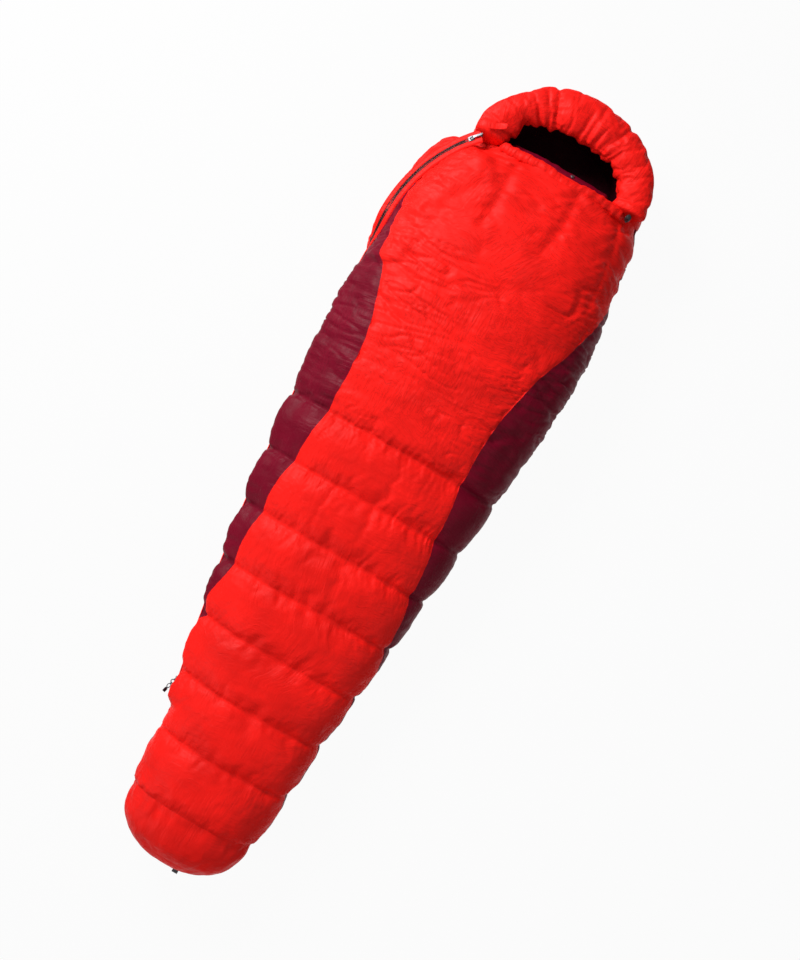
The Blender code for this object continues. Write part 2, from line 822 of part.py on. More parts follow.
def rim_cord_path(u):
    """Drawcord's centre: from the lock, into the rim and round to its left end."""
    right = rim_frame(math.radians(1))[0]
    lead = right.y - (LOCK_Y - LOCK_RADIUS - 0.004)
    if u < 0.1:
        return Vector((right.x, right.y - lead * (1 - u / 0.1), right.z))
    start = math.radians(1)
    return rim_frame(start + (math.pi - 2 * start) * (u - 0.1) / 0.9)[0]


def hood_drawcord():
    def frame(u):
        step = 0.002
        before = rim_cord_path(max(u - step, 0))
        after = rim_cord_path(min(u + step, 1))
        ahead = (after - before).normalized()
        across = Vector((0, 0, 1)).cross(ahead).normalized()
        return rim_cord_path(u), across * CORD_RADIUS, Vector((0, 0, CORD_RADIUS))
    sweep("hood_drawcord", 22, 8, frame, black_cord())


# ---- Chest band, collar ------------------------------------------------------------------------

def band_frame(u, x_left, x_right, y, depth, half_y, half_z):
    """Oval bar lying under the top surface, from left to right across the chest."""
    centre, half, top = section_sizes(y)
    x = x_left + (x_right - x_left) * u
    power = OUTER_POWER
    rise = (1 - abs((x - centre) / half) ** power) ** (1 / power)
    z = MID_HEIGHT + (top - MID_HEIGHT) * rise - depth
    return Vector((x, y, z)), Vector((0, half_y, 0)), Vector((0, 0, half_z))


BAND_Y = NECK_Y - BAND_WIDTH / 2
BAND_LEFT_X = -0.126
BAND_RIGHT_X = 0.200


def chest_band():
    half_y = BAND_WIDTH / 2 - GAP
    frame = lambda u: band_frame(u, BAND_LEFT_X, BAND_RIGHT_X, BAND_Y, BAND_HALF_HEIGHT, half_y, BAND_HALF_HEIGHT)
    sweep("chest_band", 16, 12, frame, red_nylon(), hole=CHANNEL_RADIUS)


def chest_drawcord():
    frame = lambda u: band_frame(
        u, BAND_LEFT_X, BAND_RIGHT_X, BAND_Y, BAND_HALF_HEIGHT, CORD_RADIUS, CORD_RADIUS)
    sweep("chest_drawcord", 16, 8, frame, black_cord())


COLLAR_Y = NECK_Y - 0.002
COLLAR_DROP = NECK_WALL + GAP + COLLAR_HALF[1]
COLLAR_SPAN = (-0.120, 0.160)


def draft_collar():
    frame = lambda u: band_frame(u, *COLLAR_SPAN, COLLAR_Y, COLLAR_DROP, *COLLAR_HALF)
    sweep("draft_collar", 10, 10, frame, maroon_nylon())


# ---- Zip ---------------------------------------------------------------------------------------

def zip_stations():
    """Travel values along the zip, long steps on the side arc and short ones on the shoulder."""
    low = -ZIP_SIDE_RADIUS * math.asin((ZIP_BEND_Y - ZIP_FOOT_Y) / ZIP_SIDE_RADIUS)
    side_steps = 18
    side = [low + (-ZIP_BLEND - low) * i / side_steps for i in range(side_steps)]
    blend = [-ZIP_BLEND + ZIP_BLEND * i / 6 for i in range(6)]
    high = ZIP_SHOULDER_RADIUS * ZIP_SHOULDER_ANGLE
    shoulder = [high * i / 16 for i in range(17)]
    return side + blend + shoulder


def zip_strip(name, low, high, half_thick, finish):
    """Strip of constant oblong section beside the zip's middle line."""
    stations = zip_stations()

    def point(u, v, side):
        place, _, width, outward = zip_path(at_share(stations, u))
        return place + width * (low + (high - low) * v) + outward * half_thick * side

    return slab(
        name,
        len(stations) - 1,
        1,
        lambda u, v: point(u, v, 1),
        lambda u, v: point(u, v, -1),
        finish,
    )


def zip_rows():
    """Two tooth rows with a space between for the sliders' posts, and a tape beside each."""
    inner = TOOTH_SPLIT
    outer = inner + TOOTH_WIDTH
    tape_start = outer + GAP / 2
    tape_end = tape_start + TAPE_WIDTH
    zip_strip("zip_teeth_top", inner, outer, TOOTH_HALF_THICK, zip_coil())
    zip_strip("zip_teeth_side", -outer, -inner, TOOTH_HALF_THICK, zip_coil())
    zip_strip("zip_tape_top", tape_start, tape_end, TAPE_HALF_THICK, dark_nylon())
    zip_strip("zip_tape_side", -tape_end, -tape_start, TAPE_HALF_THICK, dark_nylon())


def zip_matrix(travel):
    """Placing matrix: local X is the tape's width, Y runs towards the head, Z is outwards."""
    place, ahead, width, outward = zip_path(travel)
    columns = (width, ahead, outward)
    return Matrix([[columns[c][r] for c in range(3)] + [place[r]] for r in range(3)] + [[0, 0, 0, 1]])


PULL_PIVOT_Z = 0.0052
PULL_BAR_RADIUS = 0.0010
BRIDGE_HOLE_RADIUS = 0.0018


def slider(name, matrix):
    """Zip slider: two plates joined by a post that runs between the tooth rows, with a bridge."""
    near = TOOTH_HALF_THICK + SLIDER_CLEAR
    plate = SLIDER_PLATE
    post = TOOTH_SPLIT - SLIDER_CLEAR
    outline = []
    shape = bmesh.new()
    for x, z in [
        (-SLIDER_HALF_WIDTH, near), (-SLIDER_HALF_WIDTH, near + plate), (SLIDER_HALF_WIDTH, near + plate),
        (SLIDER_HALF_WIDTH, near), (post, near), (post, -near), (SLIDER_HALF_WIDTH, -near),
        (SLIDER_HALF_WIDTH, -near - plate), (-SLIDER_HALF_WIDTH, -near - plate), (-SLIDER_HALF_WIDTH, -near),
        (-post, -near), (-post, near),
    ]:
        outline.append(Vector((x, -SLIDER_LENGTH / 2, z)))
    extrude_outline(shape, outline, Vector((0, SLIDER_LENGTH, 0)))
    made = new_object(name, shape, zip_metal(), smooth=False)
    made.matrix_world = matrix
    bridge = bridge_guide(name + "_bridge", near + plate)
    bridge.matrix_world = matrix
    combine(made, bridge, "UNION")
    hole = cylinder_guide(name + "_hole", BRIDGE_HOLE_RADIUS, 0.02, 12, "X", (0, 0, PULL_PIVOT_Z))
    hole.matrix_world = matrix @ hole.matrix_world
    combine(made, hole, "DIFFERENCE")
    return made


BRIDGE_HALF_WIDTH = 0.0010


def bridge_guide(name, base):
    """Raised ear that carries the pull, sunk a little into the plate that it grows from."""
    shape = bmesh.new()
    top = PULL_PIVOT_Z + BRIDGE_HOLE_RADIUS + 0.0009
    half = BRIDGE_HOLE_RADIUS + 0.0010
    outline = []
    for y, z in [(-half - 0.001, base - 0.0006), (half + 0.001, base - 0.0006), (half, top - 0.0008),
                 (half - 0.001, top), (-half + 0.001, top), (-half, top - 0.0008)]:
        outline.append(Vector((-BRIDGE_HALF_WIDTH, y, z)))
    extrude_outline(shape, outline, Vector((2 * BRIDGE_HALF_WIDTH, 0, 0)))
    return new_object(name, shape, zip_metal(), smooth=False)


def cylinder_guide(name, radius, depth, sides, axis, place):
    shape = bmesh.new()
    bmesh.ops.create_cone(shape, cap_ends=True, segments=sides, radius1=radius, radius2=radius, depth=depth)
    if axis == "X":
        bmesh.ops.rotate(shape, verts=shape.verts, matrix=Matrix.Rotation(math.pi / 2, 3, "Y"))
    if axis == "Y":
        bmesh.ops.rotate(shape, verts=shape.verts, matrix=Matrix.Rotation(math.pi / 2, 3, "X"))
    made = new_object(name, shape, zip_metal(), smooth=False)
    made.location = place
    bpy.context.view_layer.update()
    return made


def window_plate(shape, outline, windows, thick):
    """Flat plate in the X-Y plane with windows, as a bmesh: rings of corners, each a list of (x, y)."""
    loops = []
    for ring in [outline] + windows:
        verts = [shape.verts.new((x, y, -thick / 2)) for x, y in ring]
        edges = [shape.edges.new((verts[i], verts[(i + 1) % len(verts)])) for i in range(len(verts))]
        loops += edges
    bmesh.ops.triangle_fill(shape, edges=loops, use_beauty=True, use_dissolve=False)
    twin = bmesh.ops.extrude_face_region(shape, geom=list(shape.faces), use_keep_orig=True)
    moved = [item for item in twin["geom"] if isinstance(item, bmesh.types.BMVert)]
    bmesh.ops.translate(shape, verts=moved, vec=Vector((0, 0, thick)))


def oblong(centre, half_x, half_y, sides):
    """Corners of an ellipse-like ring."""
    ring = []
    for index in range(sides):
        turn = 2 * math.pi * (index + 0.5) / sides
        ring.append((centre[0] + half_x * math.cos(turn), centre[1] + half_y * math.sin(turn)))
    return ring


PULL_THICK = 2 * PULL_BAR_RADIUS
FRAME_WIDTH = 0.0040     # half width of the pull's eye
EYE_LENGTH = 0.0058


def pull_outline(length, half_tip):
    """Tapered plate that starts behind the hinge bar and runs along +Y."""
    back = PULL_BAR_RADIUS
    return [
        (-FRAME_WIDTH, -back), (FRAME_WIDTH, -back), (FRAME_WIDTH, EYE_LENGTH),
        (half_tip, EYE_LENGTH + 0.004), (half_tip, length - 0.002), (half_tip - 0.0015, length),
        (-half_tip + 0.0015, length), (-half_tip, length - 0.002), (-half_tip, EYE_LENGTH + 0.004),
        (-FRAME_WIDTH, EYE_LENGTH),
    ]


def pull_eye():
    """Window that leaves the hinge bar free to pass through the slider's bridge."""
    inner = FRAME_WIDTH - 0.0018
    return [(-inner, PULL_BAR_RADIUS), (-inner, EYE_LENGTH), (inner, EYE_LENGTH), (inner, PULL_BAR_RADIUS)]


def upper_pull(matrix):
    """Long flat pull lying along the zip towards the head."""
    shape = bmesh.new()
    window_plate(shape, pull_outline(0.030, 0.0030), [pull_eye()], PULL_THICK)
    pull = new_object("upper_pull", shape, zip_metal(), smooth=False)
    pull.matrix_world = matrix @ Matrix.Translation((0, 0, PULL_PIVOT_Z))
    return pull


LOWER_PULL_LIFT = math.radians(25)   # the ringed pull stands out from the side by this much
EYE_BAR = 0.0020
RING_Y = 0.0140
RING_OUTER = 0.0060
RING_HOLE = 0.0036
LINK_Y = 0.0285
LINK_HALF = (0.0050, 0.0072)
LINK_HOLE = (0.0028, 0.0048)
TIP_START = 0.0362
TIP_LENGTH = 0.0110


def lower_pull(matrix):
    """Pull whose eye lies flat on the slider and whose two rings stand across it, towards the foot."""
    turned_out = Matrix.Rotation(math.pi, 4, "Z") @ Matrix.Rotation(LOWER_PULL_LIFT, 4, "X")
    place = matrix @ Matrix.Translation((0, 0, PULL_PIVOT_Z)) @ turned_out
    shape = bmesh.new()
    end = EYE_LENGTH + EYE_BAR
    outline = [
        (-FRAME_WIDTH, -PULL_BAR_RADIUS), (FRAME_WIDTH, -PULL_BAR_RADIUS), (FRAME_WIDTH, end), (-FRAME_WIDTH, end)]
    window_plate(shape, outline, [pull_eye()], PULL_THICK)
    pull = new_object("lower_pull", shape, zip_metal(), smooth=False)
    pull.matrix_world = place
    right = [(EYE_BAR, EYE_LENGTH + PULL_BAR_RADIUS / 2)]
    for centre_y, half_x, half_y in [(RING_Y, RING_OUTER, RING_OUTER), (LINK_Y, *LINK_HALF)]:
        for index in range(7):
            turn = math.radians(-66 + 22 * index)
            right.append((half_x * math.cos(turn), centre_y + half_y * math.sin(turn)))
    right.append((EYE_BAR, TIP_START))
    rings = bmesh.new()
    windows = [oblong((0, RING_Y), RING_HOLE, RING_HOLE, 12), oblong((0, LINK_Y), *LINK_HOLE, 12)]
    window_plate(rings, right + [(-x, y) for x, y in reversed(right)], windows, PULL_THICK)
    ring_plate = new_object("lower_pull_rings", rings, zip_metal(), smooth=False)
    ring_plate.matrix_world = place @ Matrix.Rotation(math.pi / 2, 4, "Y")
    combine(pull, ring_plate, "UNION")
    tip_place = (0, TIP_START + GAP + TIP_LENGTH / 2, 0)
    blocks("lower_pull_tip", [(tip_place, (0.0034, TIP_LENGTH, 0.008))], dark_nylon(), place)


def zip_stops():
    """Small blocks that end the tooth rows: beyond the teeth at the head and at the foot."""
    travels = zip_stations()
    for name, travel, side in (("zip_top_stop", travels[-1], 1), ("zip_bottom_stop", travels[0], -1)):
        place = Matrix.Translation((0, side * (0.002 + GAP), 0))
        blocks(name, [((0, 0, 0), (0.0075, 0.004, 0.003))], zip_metal(), zip_matrix(travel) @ place)


def draft_tube():
    """Filled tube inside the zip that stops cold air, lying along the cavity's side."""
    def frame(u):
        y = -0.600 + (0.560 + 0.600) * u
        centre, half, _ = section_sizes(y)
        x = centre - half + SIDE_WALL + DRAFT_TUBE_RADIUS + DRAFT_TUBE_CLEAR
        return Vector((x, y, ZIP_SIDE_Z)), Vector((DRAFT_TUBE_RADIUS, 0, 0)), Vector((0, 0, DRAFT_TUBE_RADIUS * 1.6))
    sweep("draft_tube", 10, 8, frame, maroon_nylon())


def zip_channel():
    """Guide for the groove that the shoulder stretch of the zip lies in."""
    high = ZIP_SHOULDER_RADIUS * (ZIP_SHOULDER_ANGLE + math.radians(8))
    low = -ZIP_BLEND * 1.15

    def point(u, v, depth):
        place, _, width, outward = zip_path(low + (high - low) * u)
        half = TOOTH_SPLIT + TOOTH_WIDTH + TAPE_WIDTH + 0.0025
        return place + width * half * (2 * v - 1) + outward * depth

    guide = slab("zip_channel", 20, 1, lambda u, v: point(u, v, 0.060), lambda u, v: point(u, v, -0.0050), dark_nylon())
    guide.hide_render = True
    guide.display_type = "WIRE"
    return guide


# ---- Cord lock, tab, loop and stud ---------------------------------------------------------------

def lock_centre():
    centre = rim_frame(math.radians(1))[0]
    return Vector((centre.x, LOCK_Y, centre.z))


def cord_lock():
    """Barrel lock: cup, sprung button and the cross hole that the cord runs through."""
    centre = lock_centre()
    slot = CHANNEL_RADIUS
    body = revolved("cord_lock_body", centre, black_plastic(), [
        (0, -LOCK_HEIGHT / 2), (LOCK_RADIUS, -LOCK_HEIGHT / 2), (LOCK_RADIUS, LOCK_HEIGHT / 2),
        (LOCK_RADIUS - LOCK_WALL, LOCK_HEIGHT / 2), (LOCK_RADIUS - LOCK_WALL, -LOCK_HEIGHT / 2 + LOCK_WALL),
        (0, -LOCK_HEIGHT / 2 + LOCK_WALL),
    ])
    through = cylinder_guide("cord_lock_cross_hole", slot, 0.03, 12, "Y", centre)
    combine(body, through, "DIFFERENCE")
    button_radius = LOCK_RADIUS - LOCK_WALL - 0.0003
    foot = -CORD_RADIUS - BUTTON_FOOT
    button = revolved("cord_lock_button", centre, black_plastic(), [
        (0, foot), (button_radius, foot), (button_radius, LOCK_HEIGHT / 2 + BUTTON_PROUD - 0.001),
        (button_radius - 0.001, LOCK_HEIGHT / 2 + BUTTON_PROUD), (0, LOCK_HEIGHT / 2 + BUTTON_PROUD),
    ])
    eye = bmesh.new()
    outline = []
    for index in range(12):
        turn = 2 * math.pi * (index + 0.5) / 12
        lift = BUTTON_TRAVEL if math.sin(turn) > 0 else 0.0
        outline.append(Vector((
            centre.x + (CORD_RADIUS + 0.0004) * math.cos(turn),
            centre.y - 0.015,
            centre.z + (CORD_RADIUS + 0.0004) * math.sin(turn) + lift,
        )))
    extrude_outline(eye, outline, Vector((0, 0.030, 0)))
    eye_guide = new_object("cord_lock_eye", eye, black_plastic(), smooth=False)
    combine(button, eye_guide, "DIFFERENCE")
    spring(centre, -LOCK_HEIGHT / 2 + LOCK_WALL + GAP, foot - GAP)


def revolved(name, centre, finish, profile, sides=20):
    """Solid of revolution about a vertical axis from a closed (radius, height) profile."""
    shape = bmesh.new()
    verts = [shape.verts.new((radius, 0, height)) for radius, height in profile]
    edges = [shape.edges.new((verts[i], verts[i + 1])) for i in range(len(verts) - 1)]
    bmesh.ops.spin(
        shape, geom=verts + edges, cent=(0, 0, 0), axis=(0, 0, 1), angle=2 * math.pi, steps=sides,
        use_merge=True, use_duplicate=False)
    bmesh.ops.remove_doubles(shape, verts=shape.verts, dist=1e-6)
    return new_object(name, shape, finish, location=centre)


def spring(centre, low, high):
    """Coil under the button, drawn at its rest length."""
    radius = LOCK_RADIUS - LOCK_WALL - 0.0018
    wire = 0.0004
    turns = 2

    def frame(u):
        turn = 2 * math.pi * turns * u
        out = Vector((math.cos(turn), math.sin(turn), 0))
        height = low + wire + (high - low - 2 * wire) * u
        return centre + out * radius + Vector((0, 0, height)), out * wire, Vector((0, 0, wire))
    sweep("cord_lock_spring", 12 * turns, 6, frame, spring_steel())


TAB_DIRECTION = Vector((0.91, 0.41, 0))
TAB_START = Vector((-0.184, 0.883, 0))


def closing_tab():
    """Hook-and-loop tab that keeps the upper slider shut, on its loop patch on the rim."""
    base = HOOD_WALL_TOP + GAP + 2 * RIM_HALF_HEIGHT + GAP
    side = Vector((-TAB_DIRECTION.y, TAB_DIRECTION.x, 0)).normalized()
    ahead = TAB_DIRECTION.normalized()
    turn = Matrix((
        (ahead.x, side.x, 0, 0), (ahead.y, side.y, 0, 0), (0, 0, 1, 0), (0, 0, 0, 1)))
    start = Matrix.Translation(TAB_START)
    patch = blocks("tab_loop_patch", [((0.026, 0, base + SKIN / 2), (0.018, 0.011, SKIN))], maroon_nylon())
    patch.matrix_world = start @ turn
    tab_z = base + SKIN + GAP + SKIN * 0.6
    tab = blocks("closing_tab", [((TAB_LENGTH / 2, 0, 0), (TAB_LENGTH, TAB_WIDTH, SKIN * 1.2))], red_nylon())
    tab.matrix_world = Matrix.Translation((0, 0, tab_z)) @ start @ turn


def foot_loop():
    """Folded webbing loop standing out of the end of the foot."""
    end = -LENGTH / 2
    outer = rounded(LOOP_LENGTH, LOOP_HEIGHT, end, MID_HEIGHT)
    inner = rounded(LOOP_LENGTH - 2 * WEBBING, LOOP_HEIGHT - 2 * WEBBING, end + WEBBING, MID_HEIGHT)
    shape = bmesh.new()
    window_plate(shape, outer, [inner], LOOP_WIDTH)
    made = new_object("foot_loop", shape, black_cord(), smooth=False)
    made.matrix_world = Matrix(((0, 0, 1, LOOP_X), (1, 0, 0, 0), (0, 1, 0, 0), (0, 0, 0, 1)))
    return made


def rounded(length, height, start, middle):
    """Oblong outline with a round outer end, in (along, up) coordinates."""
    half = height / 2
    ring = [(start + length, middle + half), ]
    for index in range(7):
        turn = math.pi / 2 + math.pi * index / 6
        ring.append((start + half + half * math.cos(turn), middle + half * math.sin(turn)))
    ring.append((start + length, middle - half))
    return ring


def collar_stud():
    """Round press stud on the head side of the draft collar."""
    share = (STUD_X - COLLAR_SPAN[0]) / (COLLAR_SPAN[1] - COLLAR_SPAN[0])
    centre = band_frame(share, *COLLAR_SPAN, COLLAR_Y, COLLAR_DROP, *COLLAR_HALF)[0]
    tilt = math.radians(52)
    out = Vector((0, math.cos(tilt) * COLLAR_HALF[0], math.sin(tilt) * COLLAR_HALF[1]))
    place = centre + out
    normal = Vector((0, math.cos(tilt) / COLLAR_HALF[0], math.sin(tilt) / COLLAR_HALF[1])).normalized()
    place += normal * (0.0011 + GAP)
    shape = bmesh.new()
    bmesh.ops.create_cone(shape, cap_ends=True, segments=14, radius1=STUD_RADIUS, radius2=STUD_RADIUS * 0.7, depth=0.002)
    made = new_object("collar_stud", shape, zip_metal())
    made.matrix_world = Matrix.Translation(place) @ normal.to_track_quat("Z", "Y").to_matrix().to_4x4()
    return made


def build():
    clear_scene()
    panels = shell_panels()
    fills = body_fill()
    baffles()
    foot_shell()
    foot_fill()
    liner()
    hood_walls()
    hood_liner()
    hood_floor()
    hood_rim()
    hood_drawcord()
    chest_band()
    chest_drawcord()
    draft_collar()
    draft_tube()
    zip_rows()
    zip_stops()
    upper = zip_matrix(ZIP_SHOULDER_RADIUS * UPPER_SLIDER_ANGLE)
    lower_travel = -ZIP_SIDE_RADIUS * math.asin((ZIP_BEND_Y - LOWER_SLIDER_Y) / ZIP_SIDE_RADIUS)
    lower = zip_matrix(lower_travel)
    slider("upper_slider", upper)
    upper_pull(upper)
    slider("lower_slider", lower)
    lower_pull(lower)
    cord_lock()
    closing_tab()
    foot_loop()
    collar_stud()
    channel = zip_channel()
    for name in ("top_shell", "side_panel_left", "zip_side_panel"):
        combine(panels[name], channel, "DIFFERENCE")
    for name in ("chest_fill", "side_fill_left"):
        combine(fills[name], channel, "DIFFERENCE")


build()
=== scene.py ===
import math

import bmesh
import bpy
import numpy as np
from mathutils import Matrix, Vector


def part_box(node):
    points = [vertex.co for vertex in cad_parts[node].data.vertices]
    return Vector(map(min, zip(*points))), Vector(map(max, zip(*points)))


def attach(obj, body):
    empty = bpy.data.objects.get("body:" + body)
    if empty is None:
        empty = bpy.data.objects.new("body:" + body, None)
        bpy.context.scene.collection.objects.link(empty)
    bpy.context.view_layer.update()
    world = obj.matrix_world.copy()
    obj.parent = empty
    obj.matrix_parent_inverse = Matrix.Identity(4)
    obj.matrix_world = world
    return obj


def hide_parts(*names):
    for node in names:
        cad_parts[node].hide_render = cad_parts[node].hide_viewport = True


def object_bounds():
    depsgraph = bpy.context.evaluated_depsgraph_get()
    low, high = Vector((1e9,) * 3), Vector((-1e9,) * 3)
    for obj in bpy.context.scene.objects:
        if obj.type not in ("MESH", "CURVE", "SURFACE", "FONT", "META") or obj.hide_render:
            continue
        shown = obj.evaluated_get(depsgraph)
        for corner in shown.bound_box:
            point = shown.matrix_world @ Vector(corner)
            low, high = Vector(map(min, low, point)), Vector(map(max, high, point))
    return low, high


bl_info = {
    "name": "Mummy Sleeping Bag Maker",
    "version": (1, 0, 0),
    "blender": (4, 5, 0),
    "location": "View3D > Sidebar > Sleeping Bag",
    "description": "Builds a quilted down mummy bag over its fixed frame",
    "category": "Add Mesh",
}

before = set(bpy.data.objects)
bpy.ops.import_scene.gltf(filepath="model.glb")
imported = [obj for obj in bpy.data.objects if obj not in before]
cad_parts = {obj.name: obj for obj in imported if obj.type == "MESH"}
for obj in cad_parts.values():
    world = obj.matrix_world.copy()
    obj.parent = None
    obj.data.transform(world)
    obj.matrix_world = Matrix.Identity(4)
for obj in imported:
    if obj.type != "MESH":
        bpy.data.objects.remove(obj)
FRAME_LOW, FRAME_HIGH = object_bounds()

# ---- Sizes of the bag, in metres ---------------------------------------------------------------

NECK_Y = 0.875
FIRST_SEAM_Y = 0.105
SEAM_PITCH = 0.145
SEAM_COUNT = 8
FOOT_SEAM_Y = FIRST_SEAM_Y - (SEAM_COUNT - 1) * SEAM_PITCH
BAND_WIDTH = 0.024
MID_HEIGHT = 0.100
FLAT_SINK = 0.022
TOP_WALL = 0.050
NECK_WALL = 0.032
NECK_TAPER_Y = 0.70
SIDE_WALL = 0.046
FLOOR_WALL = 0.032
CLOTH_GAP = 0.0005
OUTER_POWER = 2.5
CAVITY_POWER = 4.0
END_POWER = 2.2
LOW_SEAM = math.radians(35)
PANEL_MARGIN = math.radians(4)

ZIP_RADIUS = 6.5
ZIP_BEND_Y = 0.600
ZIP_SHOULDER_RADIUS = 0.340
ZIP_TILT = math.radians(20)
ZIP_SHOULDER_ANGLE = math.radians(50)
ZIP_SHOULDER_Z = 0.150
ZIP_SIDE_Z = 0.100
ZIP_BLEND = 0.120
ZIP_FOOT_Y = -0.690
ZIP_APEX_X = FRAME_LOW.x + 0.0140
SHELL_TO_ZIP = 0.0048

HOOD_HALF = 0.217
HOOD_CENTRE_X = 0.039
HOOD_CROWN_X = 0.020
FACE_HALF = 0.155
FACE_CENTRE_X = 0.020
FACE_DEPTH = 0.128
HOOD_WALL_TOP = 0.172
HOOD_LOW_TILT = math.radians(-52)
HOOD_HIGH_TILT = math.radians(62)
HOOD_FLARE = 0.036             # extra width of the hood where it meets the zip
HOOD_FLARE_START = math.radians(135)
HOOD_SPLITS = (math.radians(64), math.radians(116))
CROWN_Y = FRAME_HIGH.y
FOOT_END_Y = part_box("foot_shell")[0].y


def zip_side_x(y):
    """Plan place of the zip's long arc."""
    return ZIP_APEX_X + ZIP_RADIUS - math.sqrt(ZIP_RADIUS ** 2 - (y - ZIP_BEND_Y) ** 2)


def beside_zip(y):
    return (y, zip_side_x(y) + SHELL_TO_ZIP)


LEFT_EDGE = [
    (NECK_Y, -0.192), (0.820, -0.256), (0.740, -0.282), beside_zip(ZIP_BEND_Y), beside_zip(0.300),
    beside_zip(0.000), beside_zip(-0.330), beside_zip(-0.620), beside_zip(ZIP_FOOT_Y),
    (-0.765, -0.164), (FOOT_SEAM_Y, -0.160),
]
RIGHT_EDGE = [
    (NECK_Y, 0.256), (0.820, 0.272), (0.700, 0.290), (0.460, FRAME_HIGH.x), (0.105, 0.288),
    (-0.330, 0.243), (-0.620, 0.212), (FOOT_SEAM_Y, 0.190),
]
TOP_HEIGHT = [
    (NECK_Y, 0.212), (0.700, 0.232), (0.400, 0.238), (0.000, 0.214), (-0.475, 0.196),
    (FOOT_SEAM_Y, 0.205),
]
LEFT_PANEL_EDGE = [
    (NECK_Y, -0.300), (0.670, -0.279), (0.512, -0.254), (0.433, -0.222), (0.294, -0.184),
    (0.100, -0.182), (-0.118, -0.202), (-0.388, -0.202), (-0.620, -0.196), (FOOT_SEAM_Y, -0.200),
]
RIGHT_PANEL_EDGE = [
    (NECK_Y, 0.300), (0.660, 0.292), (0.507, 0.254), (0.423, 0.220), (0.250, 0.184),
    (0.100, 0.187), (-0.197, 0.218), (-0.400, 0.236), (-0.600, 0.240), (FOOT_SEAM_Y, 0.240),
]


def along(table, y):
    """Smooth value of a head-to-foot table at one place, by cubic Hermite steps."""
    rows = sorted(table)
    y = min(max(y, rows[0][0]), rows[-1][0])
    slopes = []
    for index in range(len(rows)):
        before = rows[max(index - 1, 0)]
        after = rows[min(index + 1, len(rows) - 1)]
        slopes.append((after[1] - before[1]) / (after[0] - before[0]))
    for index in range(len(rows) - 1):
        y0, v0 = rows[index]
        y1, v1 = rows[index + 1]
        if y <= y1:
            step = y1 - y0
            t = (y - y0) / step
            rise = v0 * (1 + 2 * t) * (1 - t) ** 2 + v1 * t * t * (3 - 2 * t)
            lean = slopes[index] * t * (1 - t) ** 2 - slopes[index + 1] * t * t * (1 - t)
            return rise + lean * step
    return rows[-1][1]


def signed_power(value, power):
    return math.copysign(abs(value) ** power, value)


def ease(share):
    """Smooth step: flat at 0 and at 1."""
    return share * share * (3 - 2 * share)


def unit(values):
    return np.clip(values, 0, 1)


def fall(distance, power):
    """1 at no distance, dying out beyond 1."""
    return np.exp(-distance ** power)


def section_sizes(y):
    left = along(LEFT_EDGE, y)
    right = along(RIGHT_EDGE, y)
    return (left + right) / 2, (right - left) / 2, along(TOP_HEIGHT, y)


def outer_point(y, angle, shrink=1.0):
    """Point of the bag's full outside."""
    centre, half, top = section_sizes(y)
    power = 2 / OUTER_POWER
    rise = top - MID_HEIGHT if math.sin(angle) >= 0 else MID_HEIGHT + FLAT_SINK
    x = centre + shrink * half * signed_power(math.cos(angle), power)
    z = MID_HEIGHT + shrink * rise * signed_power(math.sin(angle), power)
    return Vector((x, y, z))


def cavity_point(y, angle, shrink=1.0):
    """Point of the lining inside the bag."""
    centre, half, top = section_sizes(y)
    blend = min(max((y - NECK_TAPER_Y) / (NECK_Y - NECK_TAPER_Y), 0.0), 1.0)
    ceiling = top - (TOP_WALL + (NECK_WALL - TOP_WALL) * blend)
    power = 2 / CAVITY_POWER
    rise = ceiling - MID_HEIGHT if math.sin(angle) >= 0 else MID_HEIGHT - FLOOR_WALL
    x = centre + shrink * (half - SIDE_WALL) * signed_power(math.cos(angle), power)
    z = MID_HEIGHT + shrink * rise * signed_power(math.sin(angle), power)
    return Vector((x, y, z))


def zip_path(travel):
    """Place, direction to the head, width direction and outward normal of the zip."""
    if travel >= 0:
        inward = Vector((math.cos(ZIP_TILT), 0, math.sin(ZIP_TILT)))
        angle = travel / ZIP_SHOULDER_RADIUS
        place = Vector((ZIP_APEX_X, ZIP_BEND_Y, ZIP_SHOULDER_Z))
        place += inward * ZIP_SHOULDER_RADIUS * (1 - math.cos(angle))
        place.y += ZIP_SHOULDER_RADIUS * math.sin(angle)
        ahead = inward * math.sin(angle) + Vector((0, 1, 0)) * math.cos(angle)
        outward = inward.cross(Vector((0, 1, 0)))
        return place, ahead, outward.cross(ahead).normalized() * -1, outward
    angle = travel / ZIP_RADIUS
    blend = ease(min(-travel / ZIP_BLEND, 1.0))
    height = ZIP_SHOULDER_Z + (ZIP_SIDE_Z - ZIP_SHOULDER_Z) * blend
    x = ZIP_APEX_X + ZIP_RADIUS * (1 - math.cos(angle))
    y = ZIP_BEND_Y + ZIP_RADIUS * math.sin(angle)
    ahead = Vector((math.sin(angle), math.cos(angle), 0)).normalized()
    lean = (math.pi / 2 - ZIP_TILT) * (1 - blend)
    radial = Vector((-math.cos(angle), math.sin(angle), 0))
    outward = radial * math.cos(lean) + Vector((0, 0, 1)) * math.sin(lean)
    return Vector((x, y, height)), ahead, ahead.cross(outward), outward


def zip_travel(y):
    radius = ZIP_SHOULDER_RADIUS if y > ZIP_BEND_Y else ZIP_RADIUS
    return radius * math.asin(min((y - ZIP_BEND_Y) / radius, 1.0))


def zip_angle(y):
    centre, half, top = section_sizes(y)
    place = zip_path(zip_travel(y))[0]
    across = (centre - place.x) / half
    up = max(place.z - MID_HEIGHT, 0) / (top - MID_HEIGHT)
    return math.pi - math.atan((up / across) ** (OUTER_POWER / 2))


